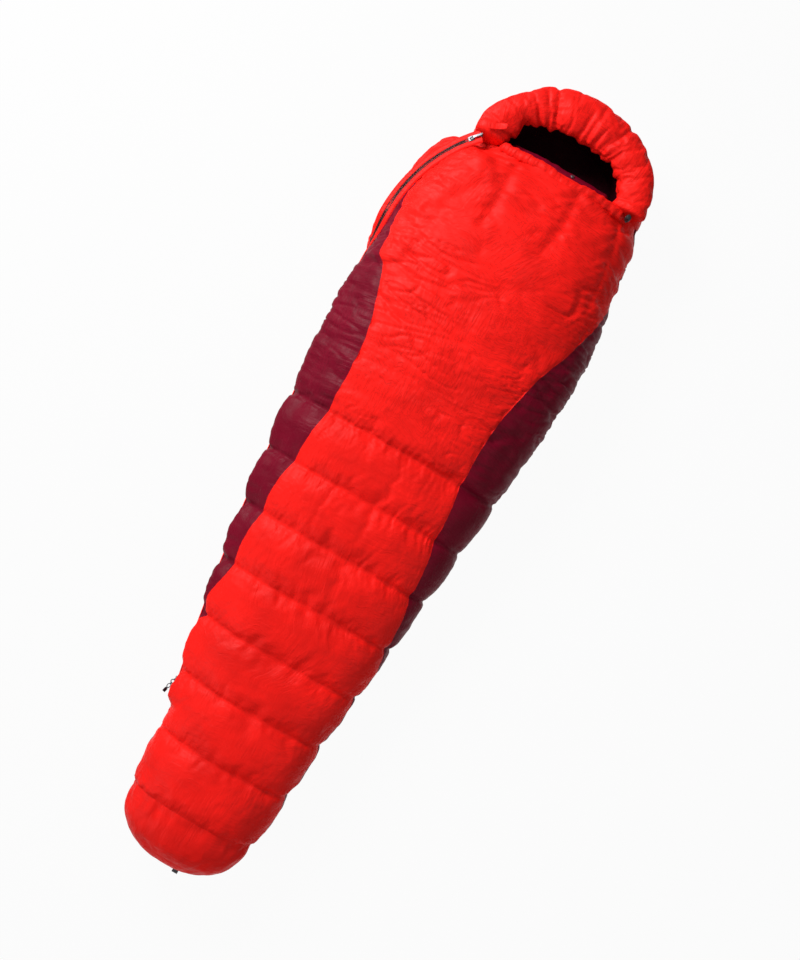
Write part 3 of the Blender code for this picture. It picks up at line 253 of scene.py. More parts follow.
def panel_angle(y, table, side):
    centre, half, _ = section_sizes(y)
    share = (along(table, y) - centre) / half * side
    angle = 0.0 if share >= 1 else math.acos(share ** (OUTER_POWER / 2))
    if side > 0:
        return max(angle, PANEL_MARGIN)
    return min(math.pi - angle, zip_angle(y) - PANEL_MARGIN)


# ---- Smooth seeded noise -----------------------------------------------------------------------

def noise(seed, x, y):
    """Smooth value noise from -1 to 1 over arrays of places, one cell per unit."""
    cells = np.random.default_rng(seed).uniform(-1, 1, (256, 256))
    x0 = np.floor(x).astype(int)
    y0 = np.floor(y).astype(int)
    fx = x - x0
    fy = y - y0
    fx = ease(fx)
    fy = ease(fy)
    at = lambda i, j: cells[i % 256, j % 256]
    low = at(x0, y0) * (1 - fx) + at(x0 + 1, y0) * fx
    high = at(x0, y0 + 1) * (1 - fx) + at(x0 + 1, y0 + 1) * fx
    return low * (1 - fy) + high * fy


def ridges(seed, x, y):
    """Sharp creases: noise folded so that its zero line becomes a valley."""
    return np.abs(noise(seed, x, y)) ** 0.7 * 2 - 1


# ---- Mesh helpers ------------------------------------------------------------------------------

def choose_none():
    if bpy.context.object and bpy.context.object.mode != "OBJECT":
        bpy.ops.object.mode_set(mode="OBJECT")
    bpy.ops.object.select_all(action="DESELECT")


def only(item):
    choose_none()
    item.select_set(True)
    bpy.context.view_layer.objects.active = item


def apply_modifiers(item):
    only(item)
    for change in list(item.modifiers):
        bpy.ops.object.modifier_apply(modifier=change.name)


def new_object(name, data):
    made = bpy.data.objects.new(name, data)
    bpy.context.scene.collection.objects.link(made)
    return made


def weld(item, distance, inside=None):
    """Joins touching points, then turns the faces one way, or with no side given joins flat faces."""
    only(item)
    bpy.ops.object.mode_set(mode="EDIT")
    bpy.ops.mesh.select_all(action="SELECT")
    bpy.ops.mesh.remove_doubles(threshold=distance)
    if inside is None:
        bpy.ops.mesh.dissolve_limited(angle_limit=math.radians(2))
    else:
        bpy.ops.mesh.normals_make_consistent(inside=inside)
    bpy.ops.object.mode_set(mode="OBJECT")


def walked(points):
    """Distance along each row of points, from its first one."""
    distance = np.zeros(points.shape[:2])
    distance[:, 1:] = np.cumsum(np.linalg.norm(np.diff(points, axis=1), axis=2), axis=1)
    return distance


def cloth_sheet(name, points, finish):
    """Grid of points[row][column] laid as a sheet; its UV map is in metres along the cloth."""
    rows, columns = points.shape[:2]
    choose_none()
    bpy.ops.mesh.primitive_grid_add(x_subdivisions=columns - 1, y_subdivisions=rows - 1, size=1)
    made = bpy.context.object
    made.name = name
    made.data.name = name
    made.data.vertices.foreach_set("co", points.reshape(-1))
    across = walked(points)
    across -= across[:, columns // 2][:, None]
    ahead = walked(points.transpose(1, 0, 2)).T
    cloth = np.stack([across, ahead], axis=2).reshape(-1, 2)
    layer = made.data.uv_layers[0] if made.data.uv_layers else made.data.uv_layers.new(name="UVMap")
    corners = np.zeros(len(made.data.loops), dtype=np.int32)
    made.data.loops.foreach_get("vertex_index", corners)
    layer.data.foreach_set("uv", cloth[corners].reshape(-1))
    made.data.update()
    made.data.materials.clear()
    made.data.materials.append(finish)
    made.data.shade_smooth()
    return made


def face_out(item, outward):
    """Turns the sheet over if its middle face points the wrong way."""
    face = item.data.polygons[len(item.data.polygons) // 2]
    if face.normal.dot(outward) < 0:
        item.data.flip_normals()


def read_points(item):
    flat = np.zeros(len(item.data.vertices) * 3)
    item.data.vertices.foreach_get("co", flat)
    return flat.reshape(-1, 3)


def inflate(item, pins, pressure, spare, steps=20, cap=0.012, stiffness=8.0):
    """Cloth simulation: pins is 1 on a seam, less where the cloth may move; spare is the extra cloth."""
    start = read_points(item)
    group = item.vertex_groups.new(name="seams")
    levels = np.round(unit(pins), 2)
    for level in np.unique(levels):
        where = np.nonzero(levels == level)[0].tolist()
        group.add(where, float(level), "REPLACE")
    cloth = item.modifiers.new("Cloth", "CLOTH")
    rules = cloth.settings
    rules.quality = 4
    rules.mass = 0.12
    rules.tension_stiffness = stiffness
    rules.compression_stiffness = stiffness
    rules.shear_stiffness = stiffness * 0.4
    rules.bending_stiffness = 0.02
    rules.air_damping = 2.0
    rules.use_pressure = pressure != 0
    rules.uniform_pressure_force = pressure
    rules.effector_weights.gravity = 0
    rules.vertex_group_mass = "seams"
    rules.pin_stiffness = 1.0
    rules.shrink_min = -spare
    rules.shrink_max = -spare
    cloth.collision_settings.use_collision = False
    cloth.collision_settings.use_self_collision = False
    cloth.point_cache.frame_start = 1
    cloth.point_cache.frame_end = steps
    scene = bpy.context.scene
    for step in range(1, steps + 1):
        scene.frame_set(step)
    apply_modifiers(item)
    scene.frame_set(1)
    item.vertex_groups.clear()
    moved = read_points(item) - start
    size = np.linalg.norm(moved, axis=1)
    factor = np.where(size > cap, cap / np.maximum(size, 1e-9), 1.0)
    return start + moved * factor[:, None]


def smooth_finish(item, levels=1):
    change = item.modifiers.new("Soft", "SUBSURF")
    change.levels = levels
    change.render_levels = levels
    change.boundary_smooth = "PRESERVE_CORNERS"
    apply_modifiers(item)
    item.data.shade_smooth()


def ride_bag(item):
    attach(item, "bag")


# ---- Materials ---------------------------------------------------------------------------------

def linear(code):
    """Linear colour of an sRGB hex value."""
    parts = [int(code[i:i + 2], 16) / 255 for i in (0, 2, 4)]
    return tuple(p / 12.92 if p <= 0.04045 else ((p + 0.055) / 1.055) ** 2.4 for p in parts) + (1.0,)


def add_node(tree, kind, settings=None, links=None):
    """One shader node with its settings; links maps an input to a value or to (node, output)."""
    made = tree.nodes.new("ShaderNode" + kind)
    for key, value in (settings or {}).items():
        setattr(made, key, value)
    for key, value in (links or {}).items():
        if isinstance(value, tuple) and len(value) == 2 and hasattr(value[0], "outputs"):
            tree.links.new(value[0].outputs[value[1]], made.inputs[key])
        else:
            made.inputs[key].default_value = value
    return made


def speckle(tree, vector, scale, detail, **more):
    links = {"Vector": vector, "Scale": scale, "Detail": detail, **more}
    return add_node(tree, "TexNoise", {}, links), "Fac"


def remap(tree, value, low, high, new_low, new_high):
    links = {"Value": value, "From Min": low, "From Max": high, "To Min": new_low, "To Max": new_high}
    return add_node(tree, "MapRange", {}, links), "Result"


def calculate(tree, operation, *values):
    return add_node(tree, "Math", {"operation": operation}, dict(enumerate(values))), "Value"


def two_tone(tree, factor, first, second, low=0.0, high=1.0):
    """Colour ramp between two colours."""
    ramp = add_node(tree, "ValToRGB", {}, {"Fac": factor})
    for element, place, colour in zip(ramp.color_ramp.elements, (low, high), (first, second)):
        element.position = place
        element.color = colour
    return ramp, "Color"


def bump(tree, height, strength, distance, **below):
    links = {"Height": height, "Strength": strength, "Distance": distance, **below}
    return add_node(tree, "Bump", {}, links), "Normal"


def feed(tree, shader, sources):
    """Links each (node, output) to the shader's input of that name."""
    for name, (node, output) in sources.items():
        tree.links.new(node.outputs[output], shader.inputs[name])


def new_material(name, colour, roughness, metallic=0.0):
    made = bpy.data.materials.new(name)
    made.use_nodes = True
    made.diffuse_color = colour
    shader = made.node_tree.nodes["Principled BSDF"]
    shader.inputs["Base Color"].default_value = colour
    shader.inputs["Roughness"].default_value = roughness
    shader.inputs["Metallic"].default_value = metallic
    return made, made.node_tree, shader


def tone_and_painted_shade(colour, share):
    """The cloth's colour, darker or lighter by a share: for the soft random patches, and darker still for the
    painted shade in the creases.
    """
    red, green, blue, alpha = linear(colour)
    return min(red * share, 1.0), min(green * share, 1.0), min(blue * share, 1.0), alpha


def down_proof_nylon(name, colour, roughness=0.5):
    """Thin calendered nylon taffeta in its set colour: a soft shine broken by fine creases, with painted
    shade along the creases over the chest.

    The plain weave's threads are 0.1 mm apart; the check drawn here is 1.6 mm so that it shows.
    """
    made, tree, shader = new_material(name, linear(colour), roughness)
    source = add_node(tree, "TexCoord")
    flat = (source, "UV")
    solid = (source, "Object")
    across = add_node(tree, "Mapping", {}, {"Vector": flat, "Rotation": (0, 0, 0.16), "Scale": (14, 105, 1)})
    lengthwise = add_node(tree, "Mapping", {}, {
        "Vector": flat, "Rotation": (0, 0, -0.35), "Scale": (85, 12, 1)})
    drawn = speckle(tree, (across, "Vector"), 1.0, 3.0, Roughness=0.6, Distortion=1.1)
    pulled = speckle(tree, (lengthwise, "Vector"), 1.0, 3.0, Roughness=0.6, Distortion=1.3)
    share = remap(tree, speckle(tree, solid, 7.0, 1.0), 0.42, 0.58, 0.0, 1.0)
    creases = (add_node(tree, "Mix", {"data_type": "FLOAT"}, {0: share, 2: drawn, 3: pulled}), 0)
    crumple = speckle(tree, solid, 60.0, 3.0, Roughness=0.55, Distortion=0.9)
    # soft random patches, a little darker and lighter than the set colour
    patchy_tone = two_tone(tree, speckle(tree, solid, 11.0, 2.0), tone_and_painted_shade(colour, 0.86), tone_and_painted_shade(colour, 1.10), 0.30, 0.72)
    # painted shade: thin dark lines along the creases of the loosely filled upper part, where shade falls in
    # the folds
    away = calculate(tree, "ABSOLUTE", calculate(tree, "SUBTRACT", creases, 0.5))
    line = remap(tree, away, 0.0, 0.030, 1.0, 0.0)
    spot = add_node(tree, "SeparateXYZ", {}, {"Vector": solid})
    # the painted crease shade reaches 0.45 over the chest and fades to none below the waist
    upper = remap(tree, (spot, "Y"), 0.06, 0.20, 0.0, 0.45)
    painted_crease_shade = calculate(tree, "MULTIPLY", line, upper)
    # painted shade: along the crease lines the colour falls to 0.40 of the set colour
    cloth = (add_node(tree, "Mix", {"data_type": "RGBA"}, {0: painted_crease_shade, 6: patchy_tone, 7: tone_and_painted_shade(colour, 0.40)}), 2)
    polish = remap(tree, crumple, 0.3, 0.7, roughness - 0.07, roughness + 0.07)
    weave = {"Vector": flat, "Scale": 200.0, "Distortion": 0.2}
    threads = [(add_node(tree, "TexWave", {"bands_direction": way}, weave), "Fac") for way in "XY"]
    fine = bump(tree, calculate(tree, "ADD", *threads), 0.12, 0.0002)
    mid = bump(tree, crumple, 0.25, 0.0022, Normal=fine)
    broad = bump(tree, creases, 0.50, 0.0036, Normal=mid)
    feed(tree, shader, {"Base Color": cloth, "Roughness": polish, "Normal": broad})
    shader.inputs["Specular IOR Level"].default_value = 0.10
    return made


def zamak(name):
    """Nickel-plated zinc casting: bright, with faint tumbling marks and dull spots."""
    made, tree, shader = new_material(name, linear("77787C"), 0.42, 1.0)
    marks = speckle(tree, (add_node(tree, "TexCoord"), "Object"), 900.0, 3.0)
    polish = remap(tree, marks, 0.3, 0.7, 0.36, 0.54)
    feed(tree, shader, {"Roughness": polish, "Normal": bump(tree, marks, 0.15, 0.0001)})
    return made


def moulded_acetal(name, colour="121214"):
    """Acetal moulding: dark, half-dull, with the mould's fine spark grain."""
    made, tree, shader = new_material(name, linear(colour), 0.45)
    grain = speckle(tree, (add_node(tree, "TexCoord"), "Object"), 2500.0, 2.0)
    shade = two_tone(tree, grain, linear(colour), linear("26262A"))
    feed(tree, shader, {"Base Color": shade, "Normal": bump(tree, grain, 0.2, 0.0001)})
    return made


def woven_tape(name, colour, painted_thread_highlight, pitch=0.0012):
    """Polyester tape: dull, with a herringbone of coarse threads about a millimetre wide, the raised bands
    lighter as a painted highlight.
    """
    made, tree, shader = new_material(name, linear(colour), 0.75)
    scale = 1 / (pitch * 6.2832) * 3.0
    threads = (add_node(tree, "TexWave", {"bands_direction": "DIAGONAL"}, {
        "Vector": (add_node(tree, "TexCoord"), "Object"), "Scale": scale, "Distortion": 1.0}), "Fac")
    # painted highlight: the threads' raised bands get the lighter colour where light would catch them
    shade = two_tone(tree, threads, linear(colour), linear(painted_thread_highlight))
    feed(tree, shader, {"Base Color": shade, "Normal": bump(tree, threads, 0.4, 0.0003)})
    return made


FINISHES = {}


def finish(name):
    """Material by its short name, made once."""
    if name not in FINISHES:
        look = bpy.context.scene.bag_colours
        makers = {
            "red": lambda: down_proof_nylon("Red nylon taffeta", look.red),
            "maroon": lambda: down_proof_nylon("Maroon nylon taffeta", look.maroon, 0.48),
            "lining": lambda: down_proof_nylon("Black-cherry nylon lining", look.lining),
            "piping": lambda: down_proof_nylon("Dark nylon binding", "2A0610"),
            "metal": lambda: zamak("Nickel-plated zinc"),
            "plastic": lambda: moulded_acetal("Black acetal"),
            "coil": lambda: moulded_acetal("Nylon zip coil", "2A0A12"),
            # the second colour of each woven finish below is its painted thread highlight
            "tape": lambda: woven_tape("Woven zip tape", "24060E", "3A0C18"),
            "webbing": lambda: woven_tape("Nylon webbing", "26262A", "5A5A60"),
            "cord": lambda: woven_tape("Braided cord", "141416", "303034"),
            "thread": lambda: woven_tape("Polyester sewing thread", look.thread, "C01820", 0.0006),
            "dark_thread": lambda: woven_tape("Dark sewing thread", "4A0818", "641024", 0.0006),
        }
        FINISHES[name] = makers[name]()
    return FINISHES[name]


# ---- Quilted shell -----------------------------------------------------------------------------

ZONES = [
    ("right_side", 18, "maroon"), ("right_low_top", 10, "maroon"), ("top", 76, "red"),
    ("left", 14, "maroon"), ("zip", 18, "red"),
]
SEAM_COLUMNS = [sum(count for _, count, _ in ZONES[:last]) for last in range(1, len(ZONES))]
_, TOP_FIRST, TOP_LAST, ZIP_COLUMN = SEAM_COLUMNS
BOTTOM_COLUMNS = 40


def seam_list(y):
    """Section angles of the seams, from the right lower one round over the top to the left."""
    zip_at = zip_angle(y)
    return [
        -LOW_SEAM, 0.0, panel_angle(y, RIGHT_PANEL_EDGE, 1), panel_angle(y, LEFT_PANEL_EDGE, -1),
        zip_at, math.pi + LOW_SEAM]


def row_places(spacing):
    """Rows along the bag with one on every cross seam."""
    stops = [NECK_Y - CLOTH_GAP, NECK_Y - BAND_WIDTH, 0.60, 0.35, FIRST_SEAM_Y]
    stops += [FIRST_SEAM_Y - SEAM_PITCH * i for i in range(1, SEAM_COUNT)]
    rows = [stops[0]]
    for high, low in zip(stops, stops[1:]):
        count = max(2, round((high - low) / spacing))
        rows += [high - (high - low) * (i + 1) / count for i in range(count)]
    return rows


def shell_grid(spacing):
    """Rows along the bag and the points of the full outside over the top, the columns laid zone by zone
    between the seams.
    """
    rows = row_places(spacing)
    points = []
    for y in rows:
        seams = seam_list(y)
        angles = [seams[0]]
        for (low, high), (_, count, _) in zip(zip(seams, seams[1:]), ZONES):
            angles += [low + (high - low) * (i + 1) / count for i in range(count)]
        points.append([outer_point(y, a) for a in angles])
    return np.array(rows), np.array(points)


def foot_rows(points, steps=22):
    """Carries the last row on round the foot's rounded end."""
    base = points[-1]
    middle = np.array([section_sizes(FOOT_SEAM_Y)[0], FOOT_SEAM_Y, MID_HEIGHT])
    length = FOOT_SEAM_Y - FOOT_END_Y
    made = []
    for index in range(1, steps + 1):
        turn = math.pi / 2 * index / steps
        shrink = max(math.cos(turn) ** (2 / END_POWER), 0.02)
        row = middle + (base - middle) * shrink
        row[:, 1] = FOOT_SEAM_Y - length * math.sin(turn) ** (2 / END_POWER)
        made.append(row)
    return np.array(made)


def chest_seams():
    """Lengthwise sewn lines on the chest: (line of (x, y) places, groove depth)."""
    return [
        ([(-0.078, 0.850), (-0.074, 0.760), (-0.080, 0.665)], 0.0060),
        ([(0.086, 0.850), (0.088, 0.760), (0.080, 0.675)], 0.0060),
        ([(-0.176, 0.835), (-0.205, 0.760), (-0.214, 0.690), (-0.210, 0.640)], 0.0045),
        ([(0.205, 0.840), (0.226, 0.760), (0.236, 0.690), (0.238, 0.610)], 0.0045),
        ([(-0.150, 0.838), (-0.118, 0.800), (-0.086, 0.775)], 0.0030),
        ([(0.252, 0.455), (0.247, 0.330), (0.238, 0.220), (0.236, 0.140)], 0.0050),
    ]


def line_distance(points, line):
    """Distance in plan from each point to a bent line, and the place along it."""
    best = np.full(points.shape[:2], 9.0)
    place = np.zeros(points.shape[:2])
    start = 0.0
    flat = points[:, :, :2]
    for a, b in zip(line, line[1:]):
        a = np.array(a)
        b = np.array(b)
        step = b - a
        size = np.linalg.norm(step)
        share = unit(((flat - a) @ step) / size ** 2)
        gap = np.linalg.norm(flat - (a + share[:, :, None] * step), axis=2)
        closer = gap < best
        place = np.where(closer, start + share * size, place)
        best = np.minimum(best, gap)
        start += size
    return best, place


def surface_normals(points):
    du = np.gradient(points, axis=1)
    dv = np.gradient(points, axis=0)
    normal = np.cross(du, dv)
    size = np.linalg.norm(normal, axis=2, keepdims=True)
    return normal / np.maximum(size, 1e-12)


def quilt(points, rows, sizes):
    """Sinks the sewn lines below the full outside and gathers the cloth beside them."""
    normal = surface_normals(points)
    if normal[len(rows) // 2, points.shape[1] // 2, 2] < 0:
        normal = -normal
    arc = walked(points)
    arc -= arc[:, points.shape[1] // 2][:, None]
    y = np.broadcast_to(rows[:, None], arc.shape)
    # cross seams below the waist
    phase = (FIRST_SEAM_Y - y) / SEAM_PITCH
    within = phase - np.floor(phase)
    below = y < FIRST_SEAM_Y + 0.0001
    gap = np.where(below, np.minimum(within, 1 - within) * SEAM_PITCH, np.abs(y - FIRST_SEAM_Y))
    loft = np.where(below, np.sin(np.pi * unit(within)) ** 0.30, unit(gap / 0.07) ** 0.34)
    columns = np.arange(points.shape[1])[None, :]
    flank = unit((TOP_FIRST + 4 - columns) / 8)
    neck = np.minimum(loft, unit((0.852 - y) / 0.05) ** 0.5)
    loft = np.where(y > 0.80, neck + (loft - neck) * flank, loft)
    depth = sizes.seam_depth * (1 - loft)
    # gathers that die out away from each cross seam
    near = fall(gap / 0.020, 1.3)
    wave = noise(3, arc / 0.017, np.round(phase) * 7.3) * 0.6 + noise(4, arc / 0.034 + 5, y / 0.05) * 0.8
    depth = depth + near * wave * sizes.gather * (0.35 + unit(gap / 0.006) * 0.65)
    # long shallow creases across the bag, finer over the chest
    chest = unit((y - 0.10) / 0.05)
    lean = arc * 0.12 + 0.03 * noise(8, arc / 0.15, y / 0.2)
    fine = ridges(5, arc / 0.085, (y + lean) / 0.0115) * (0.0006 + 0.0005 * chest)
    fine += ridges(6, arc / 0.16, (y - lean * 0.6) / 0.021) * (0.0008 + 0.0007 * chest)
    fine += noise(7, arc / 0.11, y / 0.045) * 0.0022
    depth = depth - fine
    # lengthwise seams with a herringbone of short creases on both sides
    for index, (line, sink) in enumerate(chest_seams()):
        away, place = line_distance(points, line)
        groove = fall(away / 0.011, 1.2)
        bone = noise(20 + index, (place - away * 0.8) / 0.012, away * 0 + index) * fall(away / 0.035, 1.4)
        depth = depth + 1.3 * sink * groove + bone * 0.0042 * unit(away / 0.004)
    # panel joins
    for index, column in enumerate(SEAM_COLUMNS[1:], start=1):
        away = np.abs(arc - arc[:, column][:, None])
        join = fall(away / 0.007, 1.5)
        side = noise(40 + index, y / 0.013 + away / 0.03, away * 0) * fall(away / 0.028, 1.5)
        depth = depth + join * 0.0028 + side * 0.0011 * unit(away / 0.004)
    # the top cloth goes down under the chest band
    inner = unit(np.minimum(columns - TOP_FIRST - 2, TOP_LAST - 2 - columns) / 6)
    under_band = unit((y - (NECK_Y - BAND_WIDTH - 0.004)) / 0.008) * inner
    depth = depth * (1 - under_band) + under_band * 0.0090
    done = points - normal * depth[:, :, None]
    done, flatness = seat_on_zip(done, loft)
    return done, flatness, gap


def seat_on_zip(points, loft):
    """Lays the shell against the back of the zip's tapes and swells it out on both sides of them."""
    last = ZIP_SHOULDER_RADIUS * (ZIP_SHOULDER_ANGLE + 0.10)
    travels = np.linspace(zip_travel(ZIP_FOOT_Y - 0.02), last, 420)
    frames = [zip_path(t) for t in travels]
    places = np.array([f[0] for f in frames])
    widths = np.array([f[2] for f in frames])
    outs = np.array([f[3] for f in frames])
    flat = points.reshape(-1, 3)
    nearest = np.zeros(len(flat), dtype=int)
    best = np.full(len(flat), 9.0)
    for index, place in enumerate(places):
        gap = np.linalg.norm(flat - place, axis=1)
        closer = gap < best
        nearest[closer] = index
        best[closer] = gap[closer]
    offset = flat - places[nearest]
    w = (offset * widths[nearest]).sum(axis=1)
    h = (offset * outs[nearest]).sum(axis=1)
    across = np.abs(w)
    ends = np.minimum(nearest, len(places) - 1 - nearest) / 6
    ends = unit(ends)
    shoulder = unit((travels[nearest] + 0.16) / 0.16)
    beside = (w < 0) * unit((0.15 - best) / 0.09) ** 0.7 * unit(-w / 0.004)
    near = ends * unit((0.030 - np.abs(h)) / 0.012) * (across < 0.13)
    groove = -0.0042 + 0.0032 * unit((across - 0.0070) / 0.0020)
    blend = ease(unit((across - 0.0150) / 0.0130))
    side = unit(-(travels[nearest] + 0.10) / 0.12)
    place = unit((across - 0.0150) / 0.115) ** np.where(w > 0, 1 - 0.25 * side, 1.0)
    swell = np.sin(np.pi * place) ** 0.8 * np.where(w > 0, 0.0135 + 0.0125 * side, 0.0080)
    swell = swell * (0.25 + 0.75 * loft.reshape(-1))
    target = groove * (1 - blend) + (h + swell) * blend
    flat = flat + outs[nearest] * ((target - h) * near)[:, None]
    bulge = shoulder * beside * 0.017 * (0.8 + 0.2 * loft.reshape(-1))
    level = widths[nearest] * np.array([1, 1, 0])
    flat = flat - level / np.linalg.norm(level, axis=1, keepdims=True).clip(0.2) * bulge[:, None]
    flatness = 1 - (1 - blend) * near
    return flat.reshape(points.shape), flatness.reshape(points.shape[:2])


def split_zones(points, first_row, last_row):
    """Cuts the simulated grid into one sheet per panel, sharing their edge points."""
    made = {}
    column = 0
    for name, count, _ in ZONES:
        made[name] = points[first_row:last_row + 1, column:column + count + 1]
        column += count
    made["maroon_right"] = points[first_row:last_row + 1, :TOP_FIRST + 1]
    return made


SHELL = {}


def simulate_shell():
    """One simulation for the whole upper shell, kept for the panels and the stitching."""
    if SHELL:
        return SHELL
    sizes = bpy.context.scene.bag_sizes
    rows, full = shell_grid(sizes.cloth_spacing)
    points, flatness, gap = quilt(full, rows, sizes)
    foot = foot_rows(points)
    body_rows = len(rows)
    whole = np.concatenate([points, foot])
    arc = np.linspace(0, 1, whole.shape[1])[None, :]
    spin = np.linspace(0, 1, len(foot))[:, None]
    crease = noise(60, arc * 52, spin * 2.0) * np.exp(-spin * 3) * 0.0035
    crease = crease + noise(61, arc * 24, spin * 5) * 0.0025 * (1 - spin)
    foot_normal = surface_normals(whole)[body_rows:]
    if foot_normal[0, whole.shape[1] // 2, 2] < 0:
        foot_normal = -foot_normal
    bulge = (np.sin(unit(spin) * np.pi) ** 0.5 - 1) * 0.006
    whole[body_rows:] += foot_normal * (crease + bulge * (1 - spin) ** 0.5)[:, :, None]
    sheet = cloth_sheet("upper_shell", whole, finish("red"))
    pins = np.full(whole.shape[:2], sizes.hold)
    pins[:body_rows][gap < 0.0015] = 1.0
    pins[:body_rows] = np.maximum(pins[:body_rows], 1 - flatness)
    pins[0] = 1.0
    pins[:, 0] = 1.0
    pins[:, -1] = 1.0
    pins[body_rows + len(foot) // 2:] = 1.0
    rng = np.random.default_rng(11)
    jitter = rng.normal(0, 0.0004, whole.shape) * (1 - pins)[:, :, None]
    start = whole + jitter
    sheet.data.vertices.foreach_set("co", start.reshape(-1))
    ready = inflate(sheet, pins.reshape(-1), sizes.pressure, sizes.spare, steps=18, cap=0.009)
    whole = ready.reshape(whole.shape)
    bpy.data.objects.remove(sheet, do_unlink=True)
    SHELL.update({"rows": rows, "body_rows": body_rows, "points": whole})
    return SHELL


def cloth_places(item):
    """Each point's place on the flat cloth, from the UV map in metres."""
    corners = np.zeros(len(item.data.loops), dtype=np.int32)
    item.data.loops.foreach_get("vertex_index", corners)
    flat = np.zeros(len(item.data.loops) * 2)
    item.data.uv_layers[0].data.foreach_get("uv", flat)
    places = np.zeros((len(item.data.vertices), 2))
    places[corners] = flat.reshape(-1, 2)
    return places


def crease(item):
    """Fine sharp creases after the puffs are made: short ones beside seams, long ones between."""
    points = read_points(item)
    normal = np.zeros(len(points) * 3)
    item.data.vertices.foreach_get("normal", normal)
    normal = normal.reshape(-1, 3)
    u = cloth_places(item)[:, 0]
    y = points[:, 1]
    phase = (FIRST_SEAM_Y - y) / SEAM_PITCH
    seam = np.round(np.clip(phase, 0, SEAM_COUNT - 1))
    gap = np.abs(phase - seam) * SEAM_PITCH
    beside = fall(gap / 0.022, 1.2) * unit(gap / 0.003)
    patch = 0.45 + 0.55 * noise(101, u / 0.09, seam * 3.7)
    short = -np.abs(noise(102, (u + gap * 0.35) / 0.0095, seam * 11.3)) ** 0.8 * beside * 0.0044 * patch
    chest = unit((y - 0.10) / 0.04) * (y < NECK_Y)
    bend = 0.012 * noise(103, u / 0.14, y / 0.18)
    veil = unit(noise(104, u / 0.10, y / 0.06) + 0.45)
    long = unit(1 - 4 * np.abs(noise(105, u / 0.080, (y + bend + u * 0.22) / 0.0150))) * 0.0034
    long = long + unit(1 - 4 * np.abs(noise(106, u / 0.13, (y - bend - u * 0.15) / 0.0260))) * 0.0052
    slant = np.abs(noise(107, (u + y * 0.55) / 0.0140, (u - y) / 0.090)) ** 0.7 * 0.0010
    legs = (1 - chest) * unit(noise(108, u / 0.11, y / 0.05) + 0.15)
    height = short - (long * veil * chest + slant * legs)
    item.data.vertices.foreach_set("co", (points + normal * (height * free_share(item))[:, None]).reshape(-1))
    item.data.update()


def free_share(item):
    """0 on the sheet's border, so that neighbours stay joined, and 1 inside it."""
    shape = bmesh.new()
    shape.from_mesh(item.data)
    share = np.ones(len(shape.verts))
    for vert in shape.verts:
        if vert.is_boundary:
            share[vert.index] = 0
    shape.free()
    return share


def panel(name, points, colour, nodes, outward, levels=1):
    made = cloth_sheet(name, np.ascontiguousarray(points), finish(colour))
    face_out(made, outward)
    smooth_finish(made, levels)
    crease(made)
    if nodes:
        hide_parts(*nodes)
    ride_bag(made)
    return made


def make_body():
    shell = simulate_shell()
    points = shell["points"]
    last = shell["body_rows"] - 1
    zones = split_zones(points, 0, last)
    fills = [f"leg_fill_{i}" for i in range(1, 8)] + ["chest_fill"] + [f"baffle_{i}" for i in range(1, 9)]
    panel("top_quilt", zones["top"], "red", ["top_shell", *fills], Vector((0, 0, 1)))
    panel("right_quilt", zones["maroon_right"], "maroon",
          ["side_panel_right", "side_fill_right"], Vector((1, 0, 0)))
    turn = int(np.argmin(np.abs(shell["rows"] - 0.690)))
    panel("left_quilt", zones["left"][turn:], "maroon",
          ["side_panel_left"], Vector((-1, 0, 0.3)))
    panel("left_shoulder_quilt", zones["left"][:turn + 1], "red", [], Vector((-1, 0, 1)))
    panel("zip_side_quilt", zones["zip"], "red",
          ["zip_side_panel", "side_fill_left"], Vector((-1, 0, 0)))
    foot = points[last:]
    panel("foot_quilt", foot, "red", ["foot_shell", "foot_fill"], Vector((0, 0, 1)))


def make_underside():
    """Flat cloth on the ground, joined to the upper shell's lower edges."""
    shell = simulate_shell()
    points = shell["points"]
    last = shell["body_rows"] - 1
    share = np.linspace(0, 1, BOTTOM_COLUMNS + 1)
    sheets = []
    for first, end in ((0, last), (last, len(points) - 1)):
        rows = []
        for row in points[first:end + 1]:
            left = row[-1]
            right = row[0]
            line = left[None, :] + (right - left)[None, :] * share[:, None]
            sink = unit(np.minimum(share, 1 - share) / 0.16) ** 0.6
            low = 0.0008 + 0.0012 * (1 + np.sin(share * 90 + row[0][1] * 60)) * 0.5
            shrink = min(1.0, abs(left[0] - right[0]) / 0.05)
            line[:, 2] = line[:, 2] * (1 - sink * shrink) + low * sink * shrink
            rows.append(line)
        sheets.append(np.array(rows))
    body = cloth_sheet("underside_cloth", sheets[0], finish("red"))
    face_out(body, Vector((0, 0, -1)))
    body.data.shade_smooth()
    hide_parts("bottom_shell", "bottom_fill")
    ride_bag(body)
    # The foot's underside is the dark maroon cloth, not the red of the body's underside: partly the dark
    # bottom panel, partly painted shade for the dark line along the foot's lower edge.
    foot = cloth_sheet("foot_underside_cloth", sheets[1], finish("maroon"))
    face_out(foot, Vector((0, 0, -1)))
    ride_bag(foot)


# ---- Lining ------------------------------------------------------------------------------------

